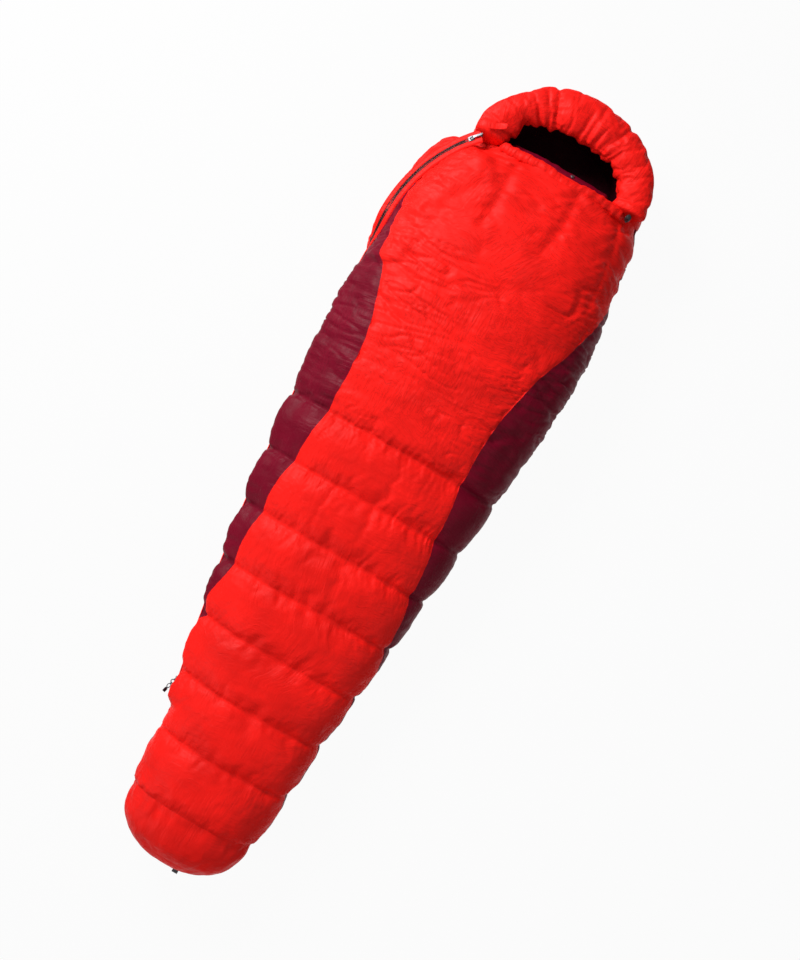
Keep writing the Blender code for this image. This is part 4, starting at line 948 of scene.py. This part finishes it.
def make_lining():
    """Dark cloth round the cavity, with soft quilting."""
    rows = list(np.linspace(NECK_Y - 0.0006, FOOT_SEAM_Y, 150))
    columns = 96
    points = []
    for y in rows:
        points.append([cavity_point(y, 2 * math.pi * i / columns) for i in range(columns + 1)])
    middle = section_sizes(FOOT_SEAM_Y)[0]
    tail = 0.068
    for index in range(1, 11):
        turn = math.pi / 2 * index / 10
        shrink = max(math.cos(turn) ** 0.9, 0.01)
        y = FOOT_SEAM_Y - tail * math.sin(turn) ** 0.9
        ring = [cavity_point(FOOT_SEAM_Y, 2 * math.pi * i / columns, shrink) for i in range(columns + 1)]
        points.append([Vector((p.x, y, p.z)) for p in ring])
    points = np.array(points)
    normal = surface_normals(points)
    inward = np.array([middle, 0, MID_HEIGHT]) - points
    flip = np.sign((normal * inward).sum(axis=2, keepdims=True))
    y = points[:, :, 1]
    arc = walked(points)
    phase = np.abs(np.sin(np.pi * (y - FIRST_SEAM_Y) / SEAM_PITCH)) ** 0.6
    puff = phase * 0.0012 + noise(70, arc / 0.03, y / 0.06) * 0.0006
    fade = unit((NECK_Y - y) / 0.03)
    points = points - normal * flip * (0.0012 - puff * fade)[:, :, None] * 0.4
    points[:, -1] = points[:, 0]
    made = cloth_sheet("lining", points, finish("lining"))
    weld(made, 0.00002, inside=True)
    made.data.shade_smooth()
    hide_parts("liner")
    ride_bag(made)


# ---- Hood --------------------------------------------------------------------------------------

def arch(turn, centre, half, depth, shift=0.0):
    power = 2 / END_POWER
    rise = abs(math.sin(turn)) ** power
    x = centre + shift * rise + half * signed_power(math.cos(turn), power)
    return Vector((x, NECK_Y + CLOTH_GAP + depth * rise, 0))


def hood_edges(turn):
    outer = arch(turn, HOOD_CENTRE_X, HOOD_HALF, CROWN_Y - NECK_Y - CLOTH_GAP, HOOD_CROWN_X - HOOD_CENTRE_X)
    flare = min(max((turn - HOOD_FLARE_START) / (math.pi - HOOD_FLARE_START), 0.0), 1.0)
    outer.x -= HOOD_FLARE * ease(flare)
    inner = arch(turn, FACE_CENTRE_X, FACE_HALF, FACE_DEPTH)
    return outer, inner


def hood_wall_point(turn, share):
    """Outside of the hood wall from the ground (0) to the rim's seam (1)."""
    outer, inner = hood_edges(turn)
    width = (outer - inner).length
    out = (outer - inner).normalized()
    tilt = HOOD_LOW_TILT + (HOOD_HIGH_TILT - HOOD_LOW_TILT) * share
    z_half = HOOD_WALL_TOP - MID_HEIGHT if tilt >= 0 else MID_HEIGHT
    reach = width * 0.45 + width * 0.55 * math.cos(tilt) ** 0.8
    end = HOOD_HIGH_TILT if tilt >= 0 else HOOD_LOW_TILT
    z = MID_HEIGHT + z_half * signed_power(math.sin(tilt) / abs(math.sin(end)), 0.9)
    place = inner + out * reach
    place.z = max(z, 0.002)
    return place


def rim_section(turn, share):
    """Point round the gathered rim: from its outer seam over the top and down to the lining."""
    outer, inner = hood_edges(turn)
    out = (outer - inner).normalized()
    width = (outer - inner).length
    crown = math.sin(turn) ** 2
    start = hood_wall_point(turn, 1.0)
    overhang = 0.006 + 0.030 * crown
    angle = math.radians(200) * share - math.radians(10)
    middle = inner + out * (width * 0.5 - overhang / 2)
    reach = width * 0.5 + overhang / 2
    place = middle + out * reach * math.cos(angle)
    skew = 1 - 0.30 * (1 - math.cos(angle)) / 2
    rise = math.sin(angle)
    place.z = HOOD_WALL_TOP + 0.004 + 0.037 * skew * max(rise, 0) ** 0.7 + 0.03 * min(rise, 0)
    blend = min(share / 0.16, 1.0)
    return start.lerp(place, ease(blend))


def hood_turn_list(count):
    """Arch angles with one on each panel seam."""
    edges = (math.radians(0.5), *HOOD_SPLITS, math.radians(179.5))
    turns = [edges[0]]
    marks = []
    for low, high in zip(edges, edges[1:]):
        steps = round(count * (high - low) / math.pi)
        turns += [low + (high - low) * (i + 1) / steps for i in range(steps)]
        marks.append(len(turns) - 1)
    return turns, marks[:-1]


END_STEPS = 8


def close_ends(points):
    """Draws the hood's two open ends in to a rounded close beside the neck."""
    caps = []
    for column, reach, lean in ((points[:, 0], 0.010, 0.0), (points[:, -1], 0.018, -0.006)):
        middle = np.array([(column[:, 0].min() + column[:, 0].max()) / 2, 0, MID_HEIGHT + 0.02])
        cap = []
        for index in range(1, END_STEPS + 1):
            turn = math.pi / 2 * index / END_STEPS
            ring = column.copy()
            shrink = max(math.cos(turn), 0.03)
            ring[:, 0] = middle[0] + (column[:, 0] - middle[0]) * shrink + lean * math.sin(turn)
            ring[:, 2] = middle[2] + (column[:, 2] - middle[2]) * shrink
            ring[:, 1] = column[:, 1] - reach * math.sin(turn)
            cap.append(ring)
        caps.append(np.array(cap))
    first = np.flip(caps[0], axis=0).transpose(1, 0, 2)
    last = caps[1].transpose(1, 0, 2)
    return np.concatenate([first, points, last], axis=1)


def make_hood():
    sizes = bpy.context.scene.bag_sizes
    turns, marks = hood_turn_list(110)
    wall_rows = 16
    rim_rows = 30
    grid = []
    for row in range(wall_rows + 1):
        grid.append([hood_wall_point(t, row / wall_rows) for t in turns])
    for row in range(1, rim_rows + 1):
        grid.append([rim_section(t, row / rim_rows) for t in turns])
    points = np.array(grid)
    normal = surface_normals(points)
    if normal[wall_rows // 2, len(turns) // 2, 1] < 0:
        normal = -normal
    arc = walked(points)
    steady = np.broadcast_to((arc / arc[:, -1:]) * 0.62, arc.shape)
    v = np.arange(points.shape[0])[:, None] / points.shape[0] + np.zeros_like(arc)
    rim = unit((v - wall_rows / points.shape[0]) / (rim_rows / points.shape[0]))
    # radial folds, deepest at the drawn-in inner edge
    fold = ridges(80, steady / 0.030, rim * 1.6) * 0.6 + noise(81, steady / 0.052, rim * 2.2) * 0.8
    sharp = ridges(82, steady / 0.0135 + rim * 0.8, rim * 3.0)
    drawn = unit(rim) ** 2.0
    depth = -(fold * (0.0012 + sizes.rim_fold * drawn) + sharp * (0.0005 + 0.0016 * drawn))
    seam_dip = fall(np.abs(v - wall_rows / points.shape[0]) / 0.03, 1.4) * 0.0035
    depth = depth + seam_dip * (1 + 0.4 * noise(83, steady / 0.015, v * 0))
    for mark in marks:
        away = np.abs(arc - arc[:, mark][:, None])
        side = noise(84, v * 60 + away / 0.02, away * 0) * fall(away / 0.02, 1.4) * 0.0018
        depth = depth + fall(away / 0.008, 1.3) * 0.0065 + side
    wall = 1 - unit(rim * 30)
    long = ridges(85, steady / 0.05, v * 22) * 0.0010
    depth = depth + wall * (long + noise(86, steady / 0.03, v * 8) * 0.0015)
    ends = unit(np.minimum(arc, arc[:, -1:] - arc) / 0.02)
    depth = depth * (0.3 + 0.7 * ends)
    points = points - normal * depth[:, :, None]
    points[:, :, 2] = np.maximum(points[:, :, 2], 0.0015)
    sheet = cloth_sheet("hood_sheet", points, finish("red"))
    pins = np.full(points.shape[:2], 0.10)
    pins[0] = 1.0
    pins[wall_rows] = 1.0
    pins[-4:] = 1.0
    pins[:, 0] = 1.0
    pins[:, -1] = 1.0
    for mark in marks:
        pins[:, mark] = 1.0
    ready = inflate(sheet, pins.reshape(-1), sizes.pressure * 0.8, 0.06, steps=18, cap=0.007)
    points = ready.reshape(points.shape)
    points[:, :, 2] = np.maximum(points[:, :, 2], 0.0015)
    bpy.data.objects.remove(sheet, do_unlink=True)
    points = close_ends(points)
    marks = [mark + END_STEPS for mark in marks]
    turns = [turns[0]] * END_STEPS + turns + [turns[-1]] * END_STEPS
    names = [("hood_quilt_right", "hood_shell_right", "hood_fill_right"),
             ("hood_quilt_crown", "hood_shell_crown", "hood_fill_crown"),
             ("hood_quilt_left", "hood_shell_left", "hood_fill_left")]
    cuts = [0, *marks, len(turns) - 1]
    for (name, shell, fill), low, high in zip(names, cuts, cuts[1:]):
        centre = points[wall_rows // 2, (low + high) // 2]
        out = Vector(centre) - Vector((HOOD_CROWN_X, NECK_Y, centre[2]))
        panel(name, points[:wall_rows + 1, low:high + 1], "red", [shell, fill], out)
    roll = cloth_sheet("hood_roll", np.ascontiguousarray(points[wall_rows:]), finish("red"))
    face_out(roll, Vector((0, 0, 1)))
    smooth_finish(roll)
    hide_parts("hood_rim")
    ride_bag(roll)
    make_hood_lining(points[-1, END_STEPS:-END_STEPS], turns[END_STEPS:-END_STEPS])


def make_hood_lining(edge, turns):
    """Dark inside of the hood, hanging from the roll's inner edge to the floor under the head."""
    rows = 16
    grid = []
    for index in range(rows + 1):
        share = index / rows
        line = []
        for place, turn in zip(edge, turns):
            inner = hood_edges(turn)[1]
            foot = Vector((inner.x, inner.y, FLOOR_WALL + 0.003))
            point = Vector(place).lerp(foot, share)
            out = (hood_edges(turn)[0] - inner).normalized()
            point += out * 0.012 * math.sin(math.pi * share)
            line.append(point)
        grid.append(line)
    points = np.array(grid)
    made = cloth_sheet("hood_lining", points, finish("lining"))
    face_out(made, Vector((0, -1, 0)))
    smooth_finish(made)
    ride_bag(made)
    floor = []
    for index in range(13):
        share = index / 12
        line = []
        for turn in turns:
            inner = hood_edges(turn)[1]
            start = Vector((FACE_CENTRE_X + (inner.x - FACE_CENTRE_X) * 0.98, NECK_Y - 0.004, 0))
            point = start.lerp(inner, share)
            point.z = FLOOR_WALL + 0.003 + 0.004 * math.sin(math.pi * share) * math.sin(turn)
            line.append(point)
        floor.append(line)
    base = cloth_sheet("hood_floor_lining", np.array(floor), finish("lining"))
    face_out(base, Vector((0, 0, 1)))
    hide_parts("hood_liner", "hood_floor_fill")
    ride_bag(base)


# ---- Chest band, collar and draft tube -----------------------------------------------------------

def tube(name, path, sides, finish_name, gathers):
    """Gathered tube along a path of (centre, across, up); gathers displaces its skin."""
    count = len(path)
    grid = []
    for index, (centre, across, up) in enumerate(path):
        ring = []
        for side in range(sides + 1):
            turn = 2 * math.pi * (side % sides) / sides
            swell = 1 + gathers(index / (count - 1), side % sides / sides)
            fade = min(1.0, math.sqrt(max(0.0, min(index, count - 1 - index) / 3.0)))
            fade = max(fade, 0.02)
            ring.append(centre + (across * math.cos(turn) + up * math.sin(turn)) * swell * fade)
        grid.append(ring)
    made = cloth_sheet(name, np.array(grid), finish(finish_name))
    weld(made, 0.00003, inside=False)
    smooth_finish(made)
    return made


def band_point(y, x, depth):
    centre, half, top = section_sizes(y)
    rise = (1 - abs((x - centre) / half) ** OUTER_POWER) ** (1 / OUTER_POWER)
    return Vector((x, y, MID_HEIGHT + (top - MID_HEIGHT) * rise - depth))


def make_band():
    """Drawn-in band over the chest, with short gathers and the cord's channel."""
    path = []
    count = 120
    start = -0.138
    length = 0.345
    y = NECK_Y - BAND_WIDTH / 2
    for index in range(count + 1):
        x = start + length * index / count
        dip = 0.011 * math.exp(-((x - 0.045) / 0.035) ** 2)
        centre = band_point(y, x, 0.0085)
        centre.y -= dip - 0.001
        path.append((centre, Vector((0, 0.0135, 0)), Vector((0, 0, 0.0105))))

    def gathers(u, v):
        broad = 0.16 * float(noise(90, np.array(u * 34.0), np.array(v * 2.0)))
        return broad + 0.10 * float(noise(91, np.array(u * 71.0 + v * 3), np.array(v * 4.0)))

    made = tube("chest_band_gathers", path, 24, "red", gathers)
    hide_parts("chest_band")
    ride_bag(made)


def make_collar():
    """Filled draft collar inside the neck, and the draft tube behind the zip."""
    path = []
    count = 60
    low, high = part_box("draft_collar")
    for index in range(count + 1):
        x = low.x + (high.x - low.x) * index / count
        centre = band_point(NECK_Y - 0.002, x, 0.0515)
        path.append((centre, Vector((0, 0.0258, 0)), Vector((0, 0, 0.0186))))
    soft = lambda u, v: 0.07 * float(noise(95, np.array(u * 20.0), np.array(v * 3.0)))
    made = tube("draft_collar_roll", path, 24, "maroon", soft)
    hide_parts("draft_collar")
    ride_bag(made)
    low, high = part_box("draft_tube")
    path = []
    for index in range(101):
        y = low.y + (high.y - low.y) * index / 100
        centre, half, _ = section_sizes(y)
        x = centre - half + SIDE_WALL + 0.014 + 0.009
        path.append((Vector((x, y, ZIP_SIDE_Z)), Vector((0.0136, 0, 0)), Vector((0, 0, 0.0218))))
    soft = lambda u, v: 0.06 * float(noise(96, np.array(u * 60.0), np.array(v * 3.0)))
    made = tube("draft_tube_roll", path, 16, "maroon", soft)
    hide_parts("draft_tube")
    ride_bag(made)


# ---- Zip ---------------------------------------------------------------------------------------

def make_zip():
    """Coil of each row: small rounded links side by side along the zip."""
    low = zip_travel(ZIP_FOOT_Y)
    high = ZIP_SHOULDER_RADIUS * ZIP_SHOULDER_ANGLE
    pitch = 0.0030
    count = int((high - low) / pitch)
    for side, node in ((1, "zip_teeth_top"), (-1, "zip_teeth_side")):
        choose_none()
        bpy.ops.mesh.primitive_cylinder_add(vertices=6, radius=0.0011, depth=0.0024)
        link = bpy.context.object
        bpy.ops.object.mode_set(mode="EDIT")
        bpy.ops.mesh.select_all(action="SELECT")
        bpy.ops.mesh.bevel(offset=0.0003, segments=1, affect="EDGES")
        bpy.ops.object.mode_set(mode="OBJECT")
        shape = bmesh.new()
        for index in range(count):
            place, ahead, width, outward = zip_path(low + pitch * (index + 0.5))
            centre = place + width * side * 0.0020
            slant = (width * side + ahead * 0.25).normalized()
            third = slant.cross(outward).normalized()
            turn = Matrix((
                (outward.x, third.x, slant.x, centre.x), (outward.y, third.y, slant.y, centre.y),
                (outward.z, third.z, slant.z, centre.z), (0, 0, 0, 1)))
            first = len(shape.verts)
            shape.from_mesh(link.data)
            shape.verts.ensure_lookup_table()
            bmesh.ops.transform(shape, matrix=turn, verts=shape.verts[first:])
        mesh = bpy.data.meshes.new(node + "_coil")
        bmesh.ops.recalc_face_normals(shape, faces=shape.faces)
        shape.to_mesh(mesh)
        shape.free()
        bpy.data.objects.remove(link, do_unlink=True)
        made = new_object(node + "_coil", mesh)
        mesh.materials.append(finish("coil"))
        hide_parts(node)
        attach(made, "bag")


def make_zip_facings():
    """Strips of shell cloth over the zip's tapes, leaving the coils bare."""
    low = zip_travel(ZIP_FOOT_Y) - 0.004
    high = ZIP_SHOULDER_RADIUS * ZIP_SHOULDER_ANGLE + 0.002
    profile = [
        (0.0042, 0.0006), (0.0046, 0.0011), (0.0075, 0.0012), (0.0110, 0.0014), (0.0150, 0.0010),
        (0.0172, -0.0012)]
    for side, name in ((1, "zip_facing_top"), (-1, "zip_facing_side")):
        grid = []
        for index in range(301):
            travel = low + (high - low) * index / 300
            place, _, width, outward = zip_path(travel)
            ripple = float(noise(130 + side, np.array(travel / 0.012), np.array(0.0))) * 0.0002
            grid.append([place + width * side * w + outward * (h + ripple) for w, h in profile])
        made = cloth_sheet(name, np.array(grid), finish("red"))
        face_out(made, zip_path((low + high) / 2)[3])
        ride_bag(made)


# ---- Hardware ----------------------------------------------------------------------------------

def rounded_copy(node, name, width, colour, body):
    """Copy of a CAD piece, welded, with its edges broken by a small bevel."""
    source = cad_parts[node]
    made = new_object(name, source.data.copy())
    made.matrix_world = source.matrix_world.copy()
    weld(made, 0.00001)
    bevel = made.modifiers.new("Broken edges", "BEVEL")
    bevel.width = width
    bevel.segments = 2
    bevel.limit_method = "ANGLE"
    bevel.angle_limit = math.radians(35)
    bevel.use_clamp_overlap = True
    apply_modifiers(made)
    bpy.ops.object.shade_smooth_by_angle(angle=math.radians(40))
    made.data.materials.clear()
    made.data.materials.append(finish(colour))
    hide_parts(node)
    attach(made, body)


def make_hardware():
    rounded_copy("upper_slider", "upper_slider_casting", 0.00035, "metal", "upper_slider")
    rounded_copy("upper_pull", "upper_pull_plate", 0.0004, "metal", "upper_pull")
    rounded_copy("lower_slider", "lower_slider_casting", 0.00035, "metal", "lower_slider")
    rounded_copy("lower_pull", "lower_pull_rings", 0.0004, "metal", "lower_pull")
    rounded_copy("lower_pull_tip", "lower_pull_tag", 0.0005, "piping", "lower_pull")
    rounded_copy("zip_top_stop", "zip_top_stop_clip", 0.0004, "metal", "bag")
    rounded_copy("zip_bottom_stop", "zip_bottom_stop_clip", 0.0004, "metal", "bag")
    rounded_copy("cord_lock_body", "cord_lock_barrel", 0.0005, "plastic", "bag")
    rounded_copy(
        "cord_lock_button", "cord_lock_plunger", 0.0005, "plastic", "cord_lock_button")


def make_tab():
    """Doubled cloth tab over the top of the zip, its free end curling up."""
    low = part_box("closing_tab")[0]
    start = Vector((-0.184, 0.883, 0))
    ahead = Vector((0.91, 0.41, 0)).normalized()
    side = Vector((-ahead.y, ahead.x, 0))
    rows = []
    steps = 24
    across = 8
    for index in range(steps + 1):
        u = index / steps
        line = []
        for step in range(across + 1):
            v = step / across - 0.5
            wide = 0.0150 * (1 - 0.25 * max(0.0, u - 0.75) / 0.25)
            rise = 0.0085 * max(0.0, u - 0.45) ** 1.8 / 0.34
            wave = 0.0004 * math.sin(u * 26) * math.cos(v * 3)
            place = start + ahead * 0.046 * u * 0.985 + side * wide * v
            place.z = low.z + 0.0006 + rise + wave + 0.0014 * (1 - (2 * v) ** 2) * 0.4
            line.append(place)
        rows.append(line)
    made = cloth_sheet("closing_tab_cloth", np.array(rows), finish("red"))
    face_out(made, Vector((0, 0, 1)))
    thick = made.modifiers.new("Doubled cloth", "SOLIDIFY")
    thick.thickness = 0.0011
    thick.offset = 0.0
    apply_modifiers(made)
    smooth_finish(made)
    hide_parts("closing_tab")
    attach(made, "closing_tab")


def make_loop():
    """Webbing loop sewn into the foot's seam."""
    rounded_copy("foot_loop", "foot_loop_webbing", 0.0003, "webbing", "bag")


def dress_nodes():
    """Finishes for the CAD pieces that stay as they are."""
    looks = {
        "zip_tape_top": "tape", "zip_tape_side": "tape", "tab_loop_patch": "piping", "collar_stud": "metal",
        "hood_drawcord": "cord", "chest_drawcord": "cord", "cord_lock_spring": "metal",
        "hood_floor_shell": "piping",
    }
    for node, look in looks.items():
        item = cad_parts[node]
        for place in item.material_slots:
            place.material = finish(look)


# ---- Stitching ---------------------------------------------------------------------------------

def stitch_row(name, lines, colour, length=0.0034, gap=0.0018, radius=0.00035):
    """Row of sewn stitches, each a small four-sided bead lying along the seam."""
    verts = []
    faces = []
    for line in lines:
        steps = [np.linalg.norm(b - a) for a, b in zip(line, line[1:])]
        places = np.concatenate([[0], np.cumsum(steps)])
        normals = surface_line_normals(line)
        start = 0.0
        while start + length < places[-1]:
            ends = []
            for where in (start, start + length):
                index = min(int(np.searchsorted(places, where, side="right")) - 1, len(line) - 2)
                share = (where - places[index]) / max(steps[index], 1e-9)
                ends.append((line[index] + (line[index + 1] - line[index]) * share, normals[index]))
            (a, up), (b, _) = ends
            side = np.cross(b - a, up)
            side = side / max(np.linalg.norm(side), 1e-9) * radius
            top = (a + b) / 2 + up * radius * 2.2
            first = len(verts)
            verts += [a, (a + b) / 2 + side, b, (a + b) / 2 - side, top, (a + b) / 2 - up * radius]
            for index in range(4):
                here = first + index
                after = first + (index + 1) % 4
                faces += [(here, after, first + 4), (after, here, first + 5)]
            start += length + gap
    mesh = bpy.data.meshes.new(name)
    mesh.from_pydata([tuple(v) for v in verts], [], faces)
    made = new_object(name, mesh)
    mesh.materials.append(finish(colour))
    mesh.update()
    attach(made, "bag")


def surface_line_normals(line):
    """Outward direction at each point: away from the bag's middle line."""
    found = []
    for place in line:
        out = np.array([place[0], 0.0, place[2] - 0.06])
        found.append(out / np.linalg.norm(out))
    return found


def make_stitching():
    shell = simulate_shell()
    points = shell["points"]
    rows = shell["rows"]
    red = []
    dark = []
    for index in range(SEAM_COUNT):
        row = int(np.argmin(np.abs(rows - (FIRST_SEAM_Y - SEAM_PITCH * index))))
        red.append(points[row, TOP_FIRST:TOP_LAST + 1])
        dark.append(points[row, 2:TOP_FIRST + 1])
        dark.append(points[row, TOP_LAST:ZIP_COLUMN - 2])
    stitch_row("cross_seam_stitches", red, "thread")
    stitch_row("side_seam_stitches", dark, "dark_thread")


# ---- Stage -------------------------------------------------------------------------------------

VIEW_WIDTH = 1.984             # seen across the picture at the bag's middle height


def make_stage():
    scene = bpy.context.scene
    scene.view_settings.view_transform = "Standard"
    choose_none()
    bpy.ops.mesh.primitive_plane_add(size=14, location=(0, 0, -0.0005))
    floor = bpy.context.object
    floor.name = "studio_floor"
    made, tree, _ = new_material("Matte white paper", linear("FFFFFF"), 0.9)
    seen = add_node(tree, "LightPath")
    pick = calculate(tree, "MAXIMUM", (seen, "Is Camera Ray"), (seen, "Is Glossy Ray"))
    glow = add_node(tree, "Emission", {}, {"Color": (1, 1, 1, 1), "Strength": 1.0})
    paper = add_node(tree, "BsdfDiffuse", {}, {"Color": (0.45, 0.45, 0.45, 1)})
    share = calculate(tree, "MULTIPLY", pick, 0.95)
    blend = add_node(tree, "MixShader", {}, {0: share, 1: (paper, "BSDF"), 2: (glow, "Emission")})
    tree.links.new(blend.outputs[0], tree.nodes["Material Output"].inputs["Surface"])
    floor.data.materials.append(made)
    world = bpy.data.worlds.new("Studio")
    scene.world = world
    world.use_nodes = True
    world.node_tree.nodes["Background"].inputs["Color"].default_value = (1, 1, 1, 1)
    world.node_tree.nodes["Background"].inputs["Strength"].default_value = 0.20
    lamps = [
        ("key_softbox", (-2.1, 1.5, 2.0), 1.2, 112), ("fill_softbox", (2.4, -1.0, 2.4), 2.2, 15),
        ("foot_softbox", (-1.6, -2.2, 1.7), 1.4, 20),
    ]
    for name, place, size, power in lamps:
        lamp = bpy.data.lights.new(name, "AREA")
        lamp.size = size
        lamp.energy = power
        item = new_object(name, lamp)
        item.location = place
        item.rotation_euler = (Vector((0, 0, 0.1)) - Vector(place)).to_track_quat("-Z", "Y").to_euler()
    sizes = scene.bag_sizes
    camera = bpy.data.cameras.new("overhead_camera")
    camera.sensor_fit = "HORIZONTAL"
    camera.sensor_width = 36
    camera.lens = camera.sensor_width * (sizes.camera_height - MID_HEIGHT) / VIEW_WIDTH
    item = new_object("overhead_camera", camera)
    item.location = (sizes.camera_x, sizes.camera_y, sizes.camera_height)
    item.rotation_euler = (0, 0, math.radians(sizes.camera_turn))
    scene.camera = item


# ---- Settings, operators and panel ---------------------------------------------------------------

def length_setting(name, note, value):
    return bpy.props.FloatProperty(name=name, description=note, default=value, unit="LENGTH")


def share_setting(name, note, value, most):
    return bpy.props.FloatProperty(
        name=name, description=note, default=value, min=0, max=most, subtype="FACTOR")


def colour_setting(name, where, value):
    return bpy.props.StringProperty(name=name, description=f"sRGB hex colour of the {where}", default=value)


class BagSizes(bpy.types.PropertyGroup):
    cloth_spacing: length_setting("Cloth spacing", "Distance between the cloth's points", 0.0072)
    seam_depth: length_setting("Seam depth", "How far the cross seams lie below the puffs", 0.0095)
    gather: length_setting("Gathers", "Height of the puckers beside the seams", 0.0042)
    rim_fold: length_setting("Rim folds", "Depth of the folds at the hood's drawn edge", 0.0102)
    pressure: bpy.props.FloatProperty(
        name="Loft pressure", description="Pressure of the down against the cloth", default=2.0, min=0)
    spare: share_setting("Spare cloth", "Extra cloth cut into each chamber", 0.03, 0.3)
    hold: share_setting("Hold", "How firmly the down holds the cloth to its shape", 0.08, 1)
    camera_height: length_setting("Camera height", "Height of the camera above the floor", 2.8)
    camera_x: length_setting("Camera X", "Sideways place of the camera", 0.052)
    camera_y: length_setting("Camera Y", "Lengthwise place of the camera", 0.048)
    camera_turn: bpy.props.FloatProperty(
        name="Camera turn", description="Turn of the picture about the upright, in degrees", default=29.72)


class BagColours(bpy.types.PropertyGroup):
    red: colour_setting("Top cloth", "top", "F41B15")
    maroon: colour_setting("Side cloth", "sides", "720420")
    lining: colour_setting("Lining", "lining", "380716")
    thread: colour_setting("Thread", "thread", "A01018")


class BagStep:
    """Runs each of the step's functions in turn"""
    makers = ()

    def execute(self, context):
        for maker in self.makers:
            maker()
        return {"FINISHED"}


class BAG_OT_stage(BagStep, bpy.types.Operator):
    """Sets the floor, lamps and camera"""
    bl_idname = "bag.make_stage"
    bl_label = "Stage"
    makers = (make_stage,)


class BAG_OT_body(BagStep, bpy.types.Operator):
    """Makes the quilted upper shell and foot"""
    bl_idname = "bag.make_body"
    bl_label = "Quilted shell"
    makers = (make_body,)


class BAG_OT_underside(BagStep, bpy.types.Operator):
    """Makes the cloth that lies on the ground"""
    bl_idname = "bag.make_underside"
    bl_label = "Underside"
    makers = (make_underside,)


class BAG_OT_lining(BagStep, bpy.types.Operator):
    """Makes the lining of the bag"""
    bl_idname = "bag.make_lining"
    bl_label = "Lining"
    makers = (make_lining,)


class BAG_OT_hood(BagStep, bpy.types.Operator):
    """Makes the hood's panels, gathered roll and lining"""
    bl_idname = "bag.make_hood"
    bl_label = "Hood"
    makers = (make_hood,)


class BAG_OT_neck(BagStep, bpy.types.Operator):
    """Makes the chest band, draft collar and draft tube"""
    bl_idname = "bag.make_neck"
    bl_label = "Band and collar"
    makers = (make_band, make_collar,)


class BAG_OT_zip(BagStep, bpy.types.Operator):
    """Makes the zip's two coils and the cloth over its tapes"""
    bl_idname = "bag.make_zip"
    bl_label = "Zip coils"
    makers = (make_zip, make_zip_facings,)


class BAG_OT_hardware(BagStep, bpy.types.Operator):
    """Makes the sliders, pulls, cord lock, tab and loop"""
    bl_idname = "bag.make_hardware"
    bl_label = "Hardware"
    makers = (make_hardware, make_tab, make_loop, dress_nodes,)


class BAG_OT_stitching(BagStep, bpy.types.Operator):
    """Sews the visible stitches along the cross seams"""
    bl_idname = "bag.make_stitching"
    bl_label = "Stitching"
    makers = (make_stitching,)


STEPS = (
    BAG_OT_stage, BAG_OT_body, BAG_OT_underside, BAG_OT_lining, BAG_OT_hood, BAG_OT_neck, BAG_OT_zip,
    BAG_OT_hardware, BAG_OT_stitching,
)


class BAG_PT_maker(bpy.types.Panel):
    """Buttons and settings for the sleeping bag"""
    bl_idname = "BAG_PT_maker"
    bl_label = "Sleeping Bag"
    bl_space_type = "VIEW_3D"
    bl_region_type = "UI"
    bl_category = "Sleeping Bag"

    def draw(self, context):
        for group in (context.scene.bag_sizes, context.scene.bag_colours):
            for key in group.__annotations__:
                self.layout.prop(group, key)
        for step in STEPS:
            self.layout.operator(step.bl_idname)


CLASSES = (BagSizes, BagColours, *STEPS, BAG_PT_maker)


def register():
    for kind in CLASSES:
        bpy.utils.register_class(kind)
    bpy.types.Scene.bag_sizes = bpy.props.PointerProperty(type=BagSizes)
    bpy.types.Scene.bag_colours = bpy.props.PointerProperty(type=BagColours)


def unregister():
    del bpy.types.Scene.bag_colours
    del bpy.types.Scene.bag_sizes
    for kind in reversed(CLASSES):
        bpy.utils.unregister_class(kind)


def main():
    register()
    bpy.ops.bag.make_stage()
    bpy.ops.bag.make_body()
    bpy.ops.bag.make_underside()
    bpy.ops.bag.make_lining()
    bpy.ops.bag.make_hood()
    bpy.ops.bag.make_neck()
    bpy.ops.bag.make_zip()
    bpy.ops.bag.make_hardware()
    bpy.ops.bag.make_stitching()


if __name__ == "__main__":
    main()
